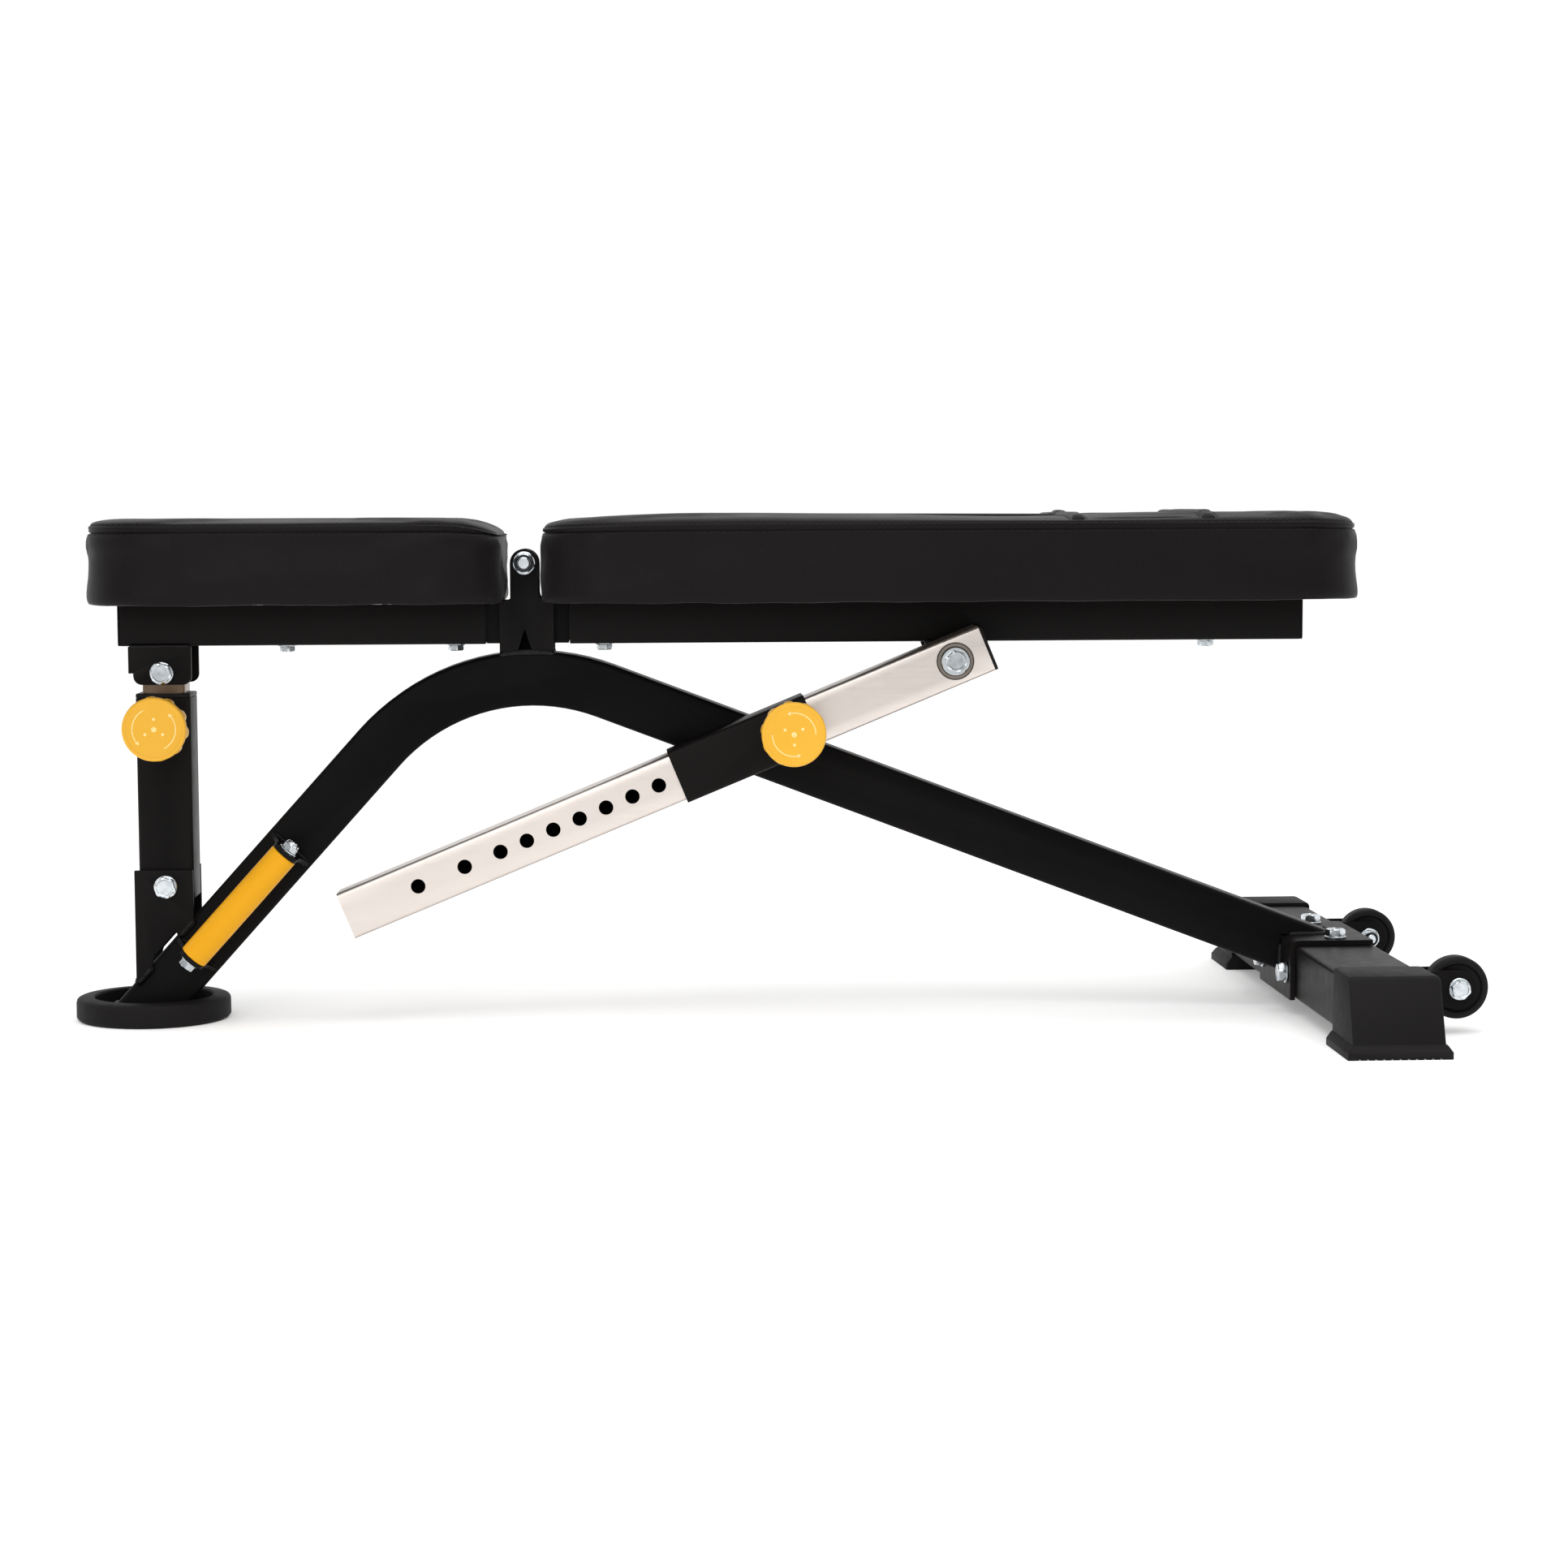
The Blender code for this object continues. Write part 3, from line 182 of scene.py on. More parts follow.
def powder_coat():
    look = Look("black_powder_coat", (0.0030, 0.0027, 0.0027), 0.40, specular=0.05)
    cloud = look.noise(9.0, 4)
    dust = look.noise(140.0, 5, 0.7)
    base = look.mix(look.ramp(cloud, 0.35, 0.7), (0.0024, 0.0021, 0.0021), (0.0036, 0.0031, 0.0031))
    specks = look.mix(look.ramp(dust, 0.68, 0.82, 0.0, 0.12), base, (0.016, 0.015, 0.0145))
    # lighter raised edges: partly wear, partly a painted highlight along the edges
    worn_and_highlighted = look.mix(look.edge_wear(0.45), specks, (0.026, 0.024, 0.023))
    look.colour(worn_and_highlighted)
    look.rough_between(0.37, 0.43, 60.0, 3)
    look.bump(look.noise(1500.0, 2, 0.6), 0.14, 0.0003)
    look.bump(look.noise(260.0, 2, 0.5), 0.07, 0.0004)
    return look.material


def weld_metal():
    look = Look("coated_weld", (0.0040, 0.0036, 0.0036), 0.34, specular=0.18)
    look.colour(look.mix(look.noise(300.0, 3), (0.0030, 0.0027, 0.0027), (0.0055, 0.0050, 0.0050)))
    look.rough_between(0.28, 0.44, 240.0, 3)
    look.bump(look.noise(700.0, 3, 0.6), 0.30, 0.0004)
    return look.material


def chrome(name, tint, roughness, core=None):
    """Plated steel; core is the (point, across, half) of a bar inside which the colour is painted near black
    and dull, as the shade in the hollow.
    """
    look = Look(name, tint, roughness, metallic=1.0)
    smear = look.noise(14.0, 4, 0.6)
    plating_and_painted_bore = look.mix(look.ramp(smear, 0.3, 0.75), tint, scaled(tint, 0.96))
    scratches = look.noise(6.0, 6, 0.7, look.stretched((3.0, 60.0, 90.0)))
    polish = look.ramp(scratches, 0.3, 0.75, roughness * 0.8, roughness * 1.4)
    if core:
        # painted shade: inside the bar the colour is near black, not metallic and fully rough, standing for the
        # shade in the hollow strut
        inside = look.square_core(*core)
        plating_and_painted_bore = look.mix(inside, plating_and_painted_bore, (0.0050, 0.0040, 0.0034))
        look.tree.links.new(look.ramp(inside, 0.0, 1.0, 1.0, 0.0), look.shader.inputs["Metallic"])
        added = {0: polish, 1: inside}
        polish = look.node("ShaderNodeMath", added, operation="ADD", use_clamp=True).outputs[0]
        look.shader.inputs["Specular IOR Level"].default_value = 0.1
    look.colour(plating_and_painted_bore)
    look.rough(polish)
    look.bump(look.noise(3.0, 3, 0.5), 0.02, 0.004)
    look.bump(scratches, 0.02, 0.0004)
    return look.material


def bush_metal():
    """Brownish plating, with a painted shadow line at the rim and another round the washer."""
    look = Look("bush_plating", (0.20, 0.175, 0.155), 0.28, metallic=1.0)
    flat = look.vector_math("MULTIPLY", look.place, (1, 0, 1))
    centre = (STRUT_BOLT.x, 0, STRUT_BOLT.z)
    radius = look.vector_math("DISTANCE", flat, centre, "Value")
    smear = look.mix(look.ramp(look.noise(30.0, 4), 0.3, 0.75), (0.24, 0.21, 0.185), (0.19, 0.165, 0.145))
    # painted shadow: the colour goes dark at the bush's outer edge, for the shade in the gap round it
    rim = look.mix(look.ramp(radius, 0.0159, 0.0166), smear, (0.012, 0.010, 0.009))
    # painted shadow: dark again in a thin ring just round the washer
    look.colour(look.mix(look.ramp(radius, 0.0138, 0.0132), rim, (0.012, 0.010, 0.009)))
    look.rough_between(0.24, 0.34, 110.0, 3)
    look.bump(look.noise(600.0, 3), 0.04, 0.0002)
    return look.material


def zinc():
    light, dark = (0.62, 0.66, 0.69), (0.38, 0.41, 0.43)
    look = Look("bright_zinc", light, 0.24, metallic=1.0)
    patches = look.mix(look.ramp(look.noise(150.0, 4), 0.35, 0.8), light, dark)
    look.colour(look.mix(look.edge_wear(0.6), patches, scaled(light, 1.25)))
    look.rough_between(0.17, 0.27, 120.0, 4, 0.75)
    look.bump(look.noise(500.0, 4, 0.6), 0.05, 0.0002)
    return look.material


def rubber(name, colour, roughness, specular):
    look = Look(name, colour, roughness, specular=specular)
    dust = look.noise(30.0, 5, 0.65)
    dusty = look.mix(look.ramp(dust, 0.45, 0.8, 0.0, 0.16), colour, scaled(colour, 2.0))
    look.colour(look.mix(look.edge_wear(0.45), dusty, scaled(colour, 2.6)))
    look.rough_between(roughness - 0.03, roughness + 0.04, 90.0, 3)
    look.bump(look.noise(1100.0, 2, 0.6), 0.20, 0.0003)
    look.bump(look.cells(420.0), 0.07, 0.0003)
    return look.material


def plastic():
    look = Look("moulded_black_plastic", (0.0050, 0.0046, 0.0046), 0.46, specular=0.14)
    look.colour(look.mix(look.noise(45.0, 4), (0.0042, 0.0039, 0.0039), (0.0066, 0.0061, 0.0060)))
    look.rough_between(0.38, 0.54, 110.0, 3)
    look.bump(look.cells(1400.0), 0.12, 0.0002)
    return look.material


def yellow(name, colour, roughness, grain):
    look = Look(name, colour, roughness, specular=0.15)
    marbled = look.mix(look.ramp(look.noise(12.0, 4), 0.3, 0.75), colour, scaled(colour, 0.94))
    grime = look.mix(look.ramp(look.noise(75.0, 5, 0.7), 0.64, 0.85, 0.0, 0.18), marbled, (0.40, 0.22, 0.04))
    look.colour(grime)
    look.rough_between(roughness - 0.07, roughness + 0.07, 80.0, 3)
    look.bump(look.noise(grain, 2, 0.6), 0.12, 0.0003)
    look.shader.inputs["Subsurface Weight"].default_value = 0.03
    look.shader.inputs["Subsurface Radius"].default_value = (0.002, 0.001, 0.0005)
    return look.material


def upholstery():
    look = Look("grained_vinyl", (0.0080, 0.0070, 0.0072), 0.44, specular=0.08)
    grain = look.cells(820.0, "SMOOTH_F1")
    creases = look.cells(430.0, "DISTANCE_TO_EDGE", randomness=0.9)
    cloud = look.noise(7.0, 4, 0.6)
    base = look.mix(look.ramp(cloud, 0.3, 0.75), (0.0056, 0.0044, 0.0051), (0.0077, 0.0062, 0.0070))
    # painted shade: the colour is darker along the grain's creases, where the bump sinks
    look.colour(look.mix(look.ramp(creases, 0.0, 0.10, 0.45, 0.0), base, (0.0034, 0.0030, 0.0030)))
    look.rough_between(0.42, 0.48, 26.0, 4, 0.75)
    look.bump(look.ramp(creases, 0.0, 0.16), 0.20, 0.0003)
    look.bump(grain, 0.14, 0.0003)
    look.bump(look.noise(55.0, 3, 0.5), 0.08, 0.0012)
    look.shader.inputs["Sheen Weight"].default_value = 0.03
    look.shader.inputs["Sheen Roughness"].default_value = 0.45
    return look.material


def thread():
    look = Look("sewing_thread", (0.010, 0.009, 0.009), 0.55, specular=0.2)
    twist = look.node("ShaderNodeTexWave", {"Vector": look.place, "Scale": 900.0, "Distortion": 0.6},
                      bands_direction="DIAGONAL")
    # painted shade and light: the thread is darker in the grooves of its twist and lighter on its ridges
    look.colour(look.mix(twist.outputs["Fac"], (0.006, 0.0055, 0.0055), (0.016, 0.015, 0.015)))
    look.rough_between(0.45, 0.65, 300.0, 2)
    look.bump(twist.outputs["Fac"], 0.5, 0.0002)
    return look.material


def plywood():
    look = Look("dark_plywood", (0.060, 0.040, 0.025), 0.8, specular=0.2)
    grain = look.noise(8.0, 6, 0.65, look.stretched((1.5, 26.0, 90.0)))
    look.colour(look.mix(look.ramp(grain, 0.3, 0.75), (0.085, 0.058, 0.035), (0.040, 0.026, 0.016)))
    look.bump(grain, 0.4, 0.0008)
    look.rough_between(0.7, 0.9, 50.0, 3)
    return look.material


def print_ink():
    look = Look("pale_print", (0.88, 0.64, 0.25), 0.5, specular=0.2)
    look.colour(look.mix(look.ramp(look.noise(420.0, 3), 0.5, 0.8), (0.90, 0.66, 0.27), (0.84, 0.54, 0.16)))
    look.rough_between(0.42, 0.58, 200.0, 2)
    return look.material


COAT = powder_coat()
WELD = weld_metal()
# the strut's hollow inside is painted dark, as shade
STRUT_CHROME = chrome("strut_chrome", (0.655, 0.600, 0.560), 0.32, (STRUT_BOLT, STRUT_ACROSS, 0.0213))
BUSH_PLATING = bush_metal()
# painted shade: the post's chrome gets a dark brown tint that stands for the shade on it and the dark things it
# reflects
SHADED_POST_CHROME = chrome("shaded_post_chrome", (0.150, 0.108, 0.075), 0.22)
ZINC = zinc()
RUBBER = rubber("moulded_rubber", (0.0072, 0.0063, 0.0066), 0.60, 0.11)
WHEEL_RUBBER = rubber("wheel_rubber", (0.0065, 0.0058, 0.0058), 0.55, 0.13)
PLASTIC = plastic()
KNOB = yellow("knob_yellow", (0.775, 0.415, 0.040), 0.38, 900.0)
GRIP = yellow("grip_yellow", (0.770, 0.362, 0.008), 0.46, 1300.0)
VINYL = upholstery()
THREAD = thread()
PLYWOOD = plywood()
INK = print_ink()


# ---- mesh tools ---------------------------------------------------------------------------

def arc(cx, cy, radius, start, end, steps):
    """Points on a circle, from the angle start to the angle end in degrees."""
    turns = [radians(start + (end - start) * i / steps) for i in range(steps + 1)]
    return [(cx + radius * cos(a), cy + radius * sin(a)) for a in turns]


def finish_mesh(name, mesh, look, body, sharp=40.0):
    """A named piece that rides on a body."""
    bmesh.ops.recalc_face_normals(mesh, faces=mesh.faces)
    data = bpy.data.meshes.new(name)
    mesh.to_mesh(data)
    mesh.free()
    data.shade_smooth()
    data.set_sharp_from_angle(angle=radians(sharp))
    data.materials.append(look)
    made = bpy.data.objects.new(name, data)
    scene.collection.objects.link(made)
    if body:
        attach(made, body)
    return made


def add_rings(mesh, rings, closed=False, caps=True):
    """Adds a skin over rings of equally many points; the ends get a face each, or join up if closed."""
    rows = [[mesh.verts.new(p) for p in ring] for ring in rings]
    pairs = list(zip(rows, rows[1:]))
    if closed:
        pairs.append((rows[-1], rows[0]))
    for low, high in pairs:
        for i in range(len(low)):
            j = (i + 1) % len(low)
            mesh.faces.new((low[i], low[j], high[j], high[i]))
    if caps and not closed:
        mesh.faces.new(rows[0][::-1])
        mesh.faces.new(rows[-1])
    return rows


def skin(name, rings, look, body, sharp=40.0, closed=False):
    """A named piece that is one skin over rings."""
    mesh = bmesh.new()
    add_rings(mesh, rings, closed)
    return finish_mesh(name, mesh, look, body, sharp)


def frame_at(origin, along, up):
    """A matrix whose Z runs along, whose Y is nearest up and whose origin is given."""
    along = Vector(along).normalized()
    side = Vector(up).cross(along).normalized()
    return Matrix.Translation(Vector(origin)) @ Matrix((side, along.cross(side), along)).transposed().to_4x4()


def ring_on(matrix, radius, steps, flat=1.0):
    """A circle in the XY plane of matrix; flat squeezes it along Y."""
    turns = [2 * pi * k / steps for k in range(steps)]
    return [matrix @ Vector((radius * cos(a), radius * flat * sin(a), 0)) for a in turns]


def turned(mesh, profile, centre, axis, steps=48, shape=None):
    """Adds a solid turned about an axis from (radius, distance along) points; radius 0 makes a tip."""
    matrix = frame_at(centre, axis, Vector(axis).orthogonal())
    rows = []
    for index, (radius, along) in enumerate(profile):
        if radius == 0:
            rows.append([mesh.verts.new(matrix @ Vector((0, 0, along)))])
            continue
        row = []
        for i in range(steps):
            a = 2 * pi * i / steps
            r = radius * (shape(index, a) if shape else 1.0)
            row.append(mesh.verts.new(matrix @ Vector((r * cos(a), r * sin(a), along))))
        rows.append(row)
    pairs = list(zip(rows, rows[1:]))
    if profile[0][0] and profile[-1][0]:
        pairs.append((rows[-1], rows[0]))
    for low, high in pairs:
        for i in range(steps):
            j = (i + 1) % steps
            if len(low) == 1:
                mesh.faces.new((low[0], high[j], high[i]))
            elif len(high) == 1:
                mesh.faces.new((low[i], low[j], high[0]))
            else:
                mesh.faces.new((low[i], low[j], high[j], high[i]))


def noise_at(x, y, z):
    return noise.noise(Vector((x, y, z)))


def weld_bead(mesh, path, up, radius, pitch=0.0026):
    """Adds a rippled bead along a path; its back faces up."""
    lengths = [0.0]
    for a, b in zip(path, path[1:]):
        lengths.append(lengths[-1] + (b - a).length)
    count = max(6, int(lengths[-1] / 0.00065))
    rings = []
    piece = 0
    for i in range(count + 1):
        at = lengths[-1] * i / count
        while piece < len(path) - 2 and lengths[piece + 1] < at:
            piece += 1
        share = (at - lengths[piece]) / (lengths[piece + 1] - lengths[piece])
        point = path[piece].lerp(path[piece + 1], share)
        grain = noise_at(at * 140, radius * 900, piece)
        ripple = 1.0 + 0.15 * abs(sin(pi * at / pitch)) + 0.14 * grain
        end = min(1.0, at / radius + 0.15, (lengths[-1] - at) / radius + 0.15)
        matrix = frame_at(point, path[piece + 1] - path[piece], up)
        rings.append(ring_on(matrix, radius * ripple * sqrt(max(end, 0.02)), 10, flat=0.8))
    add_rings(mesh, rings)


def straight_bead(mesh, start, end, up, radius):
    weld_bead(mesh, [start, start.lerp(end, 0.5), end], up, radius)


def clamped(value):
    return max(0.0, min(1.0, value))


def bell(value, middle, width):
    """1 at the middle, and about a third of that a width away from it."""
    return exp(-((value - middle) / width) ** 2)


# ---- carried-over CAD nodes ---------------------------------------------------------------

def both(*names):
    """The near and the far node of each name."""
    return tuple(name + side for name in names for side in ("_near", "_far"))


LOOKS = (
    (COAT, 0.0006, ("main_tube", "foot_plate", "handle_flange_lower", "handle_flange_upper", "cross_tube",
                    "rear_angle_plate", "seat_frame", "seat_clevis", "back_frame", "post_outer",
                    "post_pin_housing", "sleeve", "strut_pin_housing",
                    *both("post_bracket", "hinge_plate", "wheel_bracket", "seat_ear", "back_ear",
                          "strut_hanger"))),
    (RUBBER, 0.0008, ("foot_ring", *both("end_cap"))),
    (ZINC, 0.0003, ("hinge_bush", "post_pin", "strut_pin")),
    (STRUT_CHROME, 0.0003, ("strut",)),
    (BUSH_PLATING, 0.0003, ("strut_bush",)),
    (SHADED_POST_CHROME, 0.0003, ("post_inner",)),
    (PLASTIC, 0.0006, ("seat_frame_plug", "back_frame_plug", "post_collar", "strut_plug_upper",
                       "strut_plug_lower")),
)


def carry_over():
    """Gives the CAD nodes that stay visible their materials and softened edges."""
    for look, width, names in LOOKS:
        for name in names:
            node = frame["nodes"][name]
            node.data.materials.clear()
            node.data.materials.append(look)
            for attribute in ("custom_normal", "sharp_face", "sharp_edge"):
                if attribute in node.data.attributes:
                    node.data.attributes.remove(node.data.attributes[attribute])
            node.data.polygons.foreach_set("use_smooth", [True] * len(node.data.polygons))
            weld = node.modifiers.new("weld", "WELD")
            weld.merge_threshold = 0.00001
            flat = node.modifiers.new("flat", "DECIMATE")
            flat.decimate_type = "DISSOLVE"
            flat.angle_limit = radians(0.6)
            edge = node.modifiers.new("edge", "BEVEL")
            edge.width = width
            edge.segments = 2
            edge.limit_method = "ANGLE"
            edge.angle_limit = radians(34)
            edge.use_clamp_overlap = True
            edge.harden_normals = True
            edge.miter_outer = "MITER_ARC"


carry_over()


# ---- cushions -----------------------------------------------------------------------------

PAD_HALF = 0.1400
PAD_CORNER = 0.060
PAD_BOTTOM = 0.3873
LOWER_SEAM = 0.4506
UPPER_SEAM = 0.4572
BOARD_GIVE = 0.016              # how far a board stops short of its pad's hinge end
FOAM_SHRINK = 0.003             # the foam starts this much smaller than the pad
FOAM_STEP = 0.007               # the farthest that a point of the foam may move
LIFT_LIMIT = 0.0014             # the farthest that the foam may move the cover
FULL_PROFILE = (
    # inset from the outline and height: the edge folded round the board, the side, the two seams with
    # the band between them, and the top panel up to the middle of its crown
    (0.0065, 0.3990), (0.0062, 0.3880), (0.0050, 0.3868), (0.0026, 0.3864), (0.0011, 0.3867),
    (0.0001, 0.3877), (-0.0006, 0.3902), (-0.0010, 0.3935), (-0.0011, 0.3980), (-0.0010, 0.4040),
    (-0.0008, 0.4110), (-0.0006, 0.4180), (-0.0004, 0.4250), (-0.0002, 0.4320), (0.0000, 0.4380),
    (0.0001, 0.4430), (0.0004, 0.4468), (0.0009, 0.4488), (0.0018, 0.4499), (0.0030, LOWER_SEAM),
    (0.0018, 0.4513), (0.0010, 0.4523), (0.0007, 0.4536), (0.0008, 0.4550), (0.0013, 0.4561),
    (0.0021, 0.4567), (0.0031, UPPER_SEAM), (0.0030, 0.4580), (0.0038, 0.4588), (0.0054, 0.4595),
    (0.0080, 0.4602), (0.0120, 0.4609), (0.0170, 0.4615), (0.0230, 0.46195), (0.0300, 0.4622),
    (0.0400, 0.46245), (0.0560, 0.4626), (0.0780, 0.4627), (0.1000, 0.46275), (0.1260, 0.4628))
TOP_PANEL = (0.4580, 0.4628)


class Pad(namedtuple("Pad", "name x0 x1 side depth reach power far_drop flare keep")):
    """A cushion from x0 to x1 on the body called name; side is 1 if its hinge end is x1 and -1 if it is x0.

    Its top drops by depth towards the hinge end, over a length of reach and along a curve of that power. It
    drops by far_drop at the far end, where the side also flares out at the bottom. Keep, the share of its
    length that is left when the back rest is upright, is not used.
    """

    @property
    def hinge_end(self):
        return self.x1 if self.side > 0 else self.x0

    @property
    def far_end(self):
        return self.x0 if self.side > 0 else self.x1


PADS = (
    Pad("seat", HINGE_X - 0.3865, HINGE_X - 0.0192, 1, depth=0.0105, reach=0.050, power=2.0,
        far_drop=0.0, flare=0.0008, keep=0.952),
    Pad("back", HINGE_X + 0.0180, HINGE_X + 0.7566, -1, depth=0.0036, reach=0.120, power=1.3,
        far_drop=0.0022, flare=0.0024, keep=0.978))


def pad_outline(x0, x1, inset, counts=(44, 22, 9)):
    """Evenly matched points on the pad's outline, moved inwards by inset."""
    xa, xb, y = x0 + inset, x1 - inset, PAD_HALF - inset
    r = min(max(PAD_CORNER - max(inset, 0) * 0.8, 0.004), y * 0.98, (xb - xa) * 0.49)
    long, short, turn = counts
    points = []
    corners = ((xb - r, -y + r, -90), (xb - r, y - r, 0), (xa + r, y - r, 90), (xa + r, -y + r, 180))
    for cx, cy, start in corners:
        points += arc(cx, cy, r, start, start + 90, turn)
    sides = ((points[turn], points[turn + 1], short), (points[2 * turn + 1], points[2 * turn + 2], long),
             (points[3 * turn + 2], points[3 * turn + 3], short), (points[-1], points[0], long))
    outline = []
    for index, (start, end, count) in enumerate(sides):
        outline += points[index * (turn + 1):(index + 1) * (turn + 1)]
        outline += [(start[0] + (end[0] - start[0]) * k / count, start[1] + (end[1] - start[1]) * k / count)
                    for k in range(1, count)]
    return outline


def crown_height(name, x):
    """Height of the middle of a pad's top; the back pad is fuller at its shoulder and at its head."""
    if name == "seat":
        return 0.4627
    along = x - HINGE_X
    head = clamped((along - 0.545) / 0.080)
    shoulder = 0.0018 * bell(along, 0.205, 0.130)
    waist = 0.0026 * bell(along, 0.455, 0.110)
    return 0.4641 + shoulder - waist + 0.0014 * head * head * (3 - 2 * head)


def far_tip(pad, x):
    """1 at a pad's far end, fading to 0 in 50 mm."""
    return clamped(1.0 - abs(x - pad.far_end) / 0.05)


def top_drop(pad, x, z):
    """How far a point of the pad at x and z is let down by the rounding of the pad's ends."""
    near = clamped(1.0 - abs(x - pad.hinge_end) / pad.reach)
    drop = pad.depth * near ** pad.power + pad.far_drop * far_tip(pad, x)
    return drop * clamped((z - 0.4455) / 0.012)


def pad_surface(pad, shrink=0.0):
    """Rings of points over a pad."""
    low, high = TOP_PANEL
    rings = []
    for inset, z in FULL_PROFILE:
        flare = pad.side * pad.flare * clamped((0.450 - z) / 0.050)
        ring = []
        for x, y in pad_outline(pad.x0, pad.x1, inset + shrink):
            rise = z
            if z > low:
                rise = low + (z - low) * (crown_height(pad.name, x) - low) / (high - low)
            height = rise - top_drop(pad, x, z) - (shrink if z > 0.42 else 0)
            ring.append(Vector((x - flare * far_tip(pad, x), y, height)))
        rings.append(ring)
    return rings


def puffed(rings, pinned_below):
    """The rings' shape as an inflated cloth: a search tree of the simulated surface."""
    mesh = bmesh.new()
    add_rings(mesh, rings)
    bmesh.ops.recalc_face_normals(mesh, faces=mesh.faces)
    data = bpy.data.meshes.new("foam_shape")
    mesh.to_mesh(data)
    mesh.free()
    foam = bpy.data.objects.new("foam_shape", data)
    scene.collection.objects.link(foam)
    remesh = foam.modifiers.new("remesh", "REMESH")
    remesh.mode = "VOXEL"
    remesh.voxel_size = 0.006
    bpy.context.view_layer.update()
    solid = bpy.data.meshes.new_from_object(foam.evaluated_get(bpy.context.evaluated_depsgraph_get()))
    foam.modifiers.clear()
    foam.data = solid
    pinned = foam.vertex_groups.new(name="pinned")
    pinned.add([v.index for v in solid.vertices if v.co.z < pinned_below], 1.0, "REPLACE")
    before = [v.co.copy() for v in solid.vertices]
    cloth = foam.modifiers.new("cloth", "CLOTH")
    cloth.settings.quality = 4
    cloth.settings.mass = 0.4
    cloth.settings.tension_stiffness = 25
    cloth.settings.compression_stiffness = 25
    cloth.settings.shear_stiffness = 12
    cloth.settings.bending_stiffness = 2.5
    cloth.settings.use_pressure = True
    cloth.settings.uniform_pressure_force = 4.0
    cloth.settings.vertex_group_mass = "pinned"
    cloth.settings.effector_weights.gravity = 0
    cloth.point_cache.frame_start = 1
    cloth.point_cache.frame_end = 20
    for number in range(1, 21):
        scene.frame_set(number)
    moved = foam.evaluated_get(bpy.context.evaluated_depsgraph_get()).to_mesh()
    points = []
    for start, vertex in zip(before, moved.vertices):
        step = vertex.co - start
        if step.length > FOAM_STEP:
            step *= FOAM_STEP / step.length
        points.append(start + step)
    faces = [tuple(p.vertices) for p in solid.polygons]
    tree = BVHTree.FromPolygons(points, faces)
    scene.frame_set(1)
    bpy.data.objects.remove(foam)
    return tree


def surface_normals(rings):
    normals = []
    for k, ring in enumerate(rings):
        below, above = rings[max(k - 1, 0)], rings[min(k + 1, len(rings) - 1)]
        row = []
        for i in range(len(ring)):
            across = ring[(i + 1) % len(ring)] - ring[i - 1]
            rise = above[i] - below[i]
            row.append(across.cross(rise).normalized())
        normals.append(row)
    return normals


def lift_to_foam(pad, rings, normals):
    """Moves the cover a little to where the foam puffs it, but not at the seams or under the pad."""
    tree = puffed(pad_surface(pad, shrink=FOAM_SHRINK), 0.396)
    for (_, z), ring, row in zip(FULL_PROFILE, rings, normals):
        rises = []
        for point, normal in zip(ring, row):
            hit = tree.ray_cast(point + normal * 0.02, -normal, 0.04)
            rises.append((hit[0] - point).dot(normal) if hit[0] else 0.0)
        level = 0.85 * sorted(rises)[len(rises) // 2]
        seam = min(abs(z - LOWER_SEAM), abs(z - UPPER_SEAM))
        share = clamped((z - 0.3880) / 0.02) * min(1.0, seam / 0.006)
        for i, rise in enumerate(rises):
            lift = max(-LIFT_LIMIT, min(LIFT_LIMIT, rise - level)) * share
            ring[i] = ring[i] + row[i] * lift


def wrinkle(pad, rings, normals):
    """Slow waves, folds where the cover turns under the board, creases, and puckers below the seams."""
    for (_, z), ring, row in zip(FULL_PROFILE, rings, normals):
        sag = bell(z, 0.3864, 0.006)
        for i, p in enumerate(ring):
            ring[i] = p + UP * noise_at(p.x * 28, p.y * 28, pad.x1) * 0.0010 * sag
        if z < 0.3876:
            continue
        fold = bell(z, 0.398, 0.014)
        calm = 0.3 if z > 0.447 else 1.0
        for i, p in enumerate(ring):
            end = clamped(1.0 - min(abs(p.x - pad.x0), abs(p.x - pad.x1)) / 0.07)
            wave = noise_at(p.x * 9, p.y * 9, p.z * 16 + pad.x0) * 0.0006
            pull = noise_at(p.x * 70, p.y * 70, p.z * 12) * 0.0010 * fold * (0.35 + 0.9 * end)
            crease = noise_at(p.x * 34, p.y * 34, p.z * 60 + 3) * 0.0004 * (0.4 + end) * calm
            pucker = noise_at(p.x * 160, p.y * 160, 7.0) * 0.0003 * bell(z, 0.447, 0.006)
            ring[i] = p + row[i] * (wave + pull + crease + pucker) * min(1.0, (z - 0.3876) / 0.004)


def cushion(pad):
    """The upholstered pad: foam under one fine skin, with two sewn seams round its top edge."""
    rings = pad_surface(pad)
    normals = surface_normals(rings)
    lift_to_foam(pad, rings, normals)
    wrinkle(pad, rings, normals)
    return skin(pad.name + "_cushion", rings, VINYL, None, sharp=180), rings


def skin_tree(rings):
    points = [p for ring in rings for p in ring]
    n = len(rings[0])
    faces = []
    for k in range(len(rings) - 1):
        for i in range(n):
            j = (i + 1) % n
            faces.append((k * n + i, k * n + j, (k + 1) * n + j, (k + 1) * n + i))
    faces.append(tuple((len(rings) - 1) * n + i for i in range(n)))
    return BVHTree.FromPolygons(points, faces)


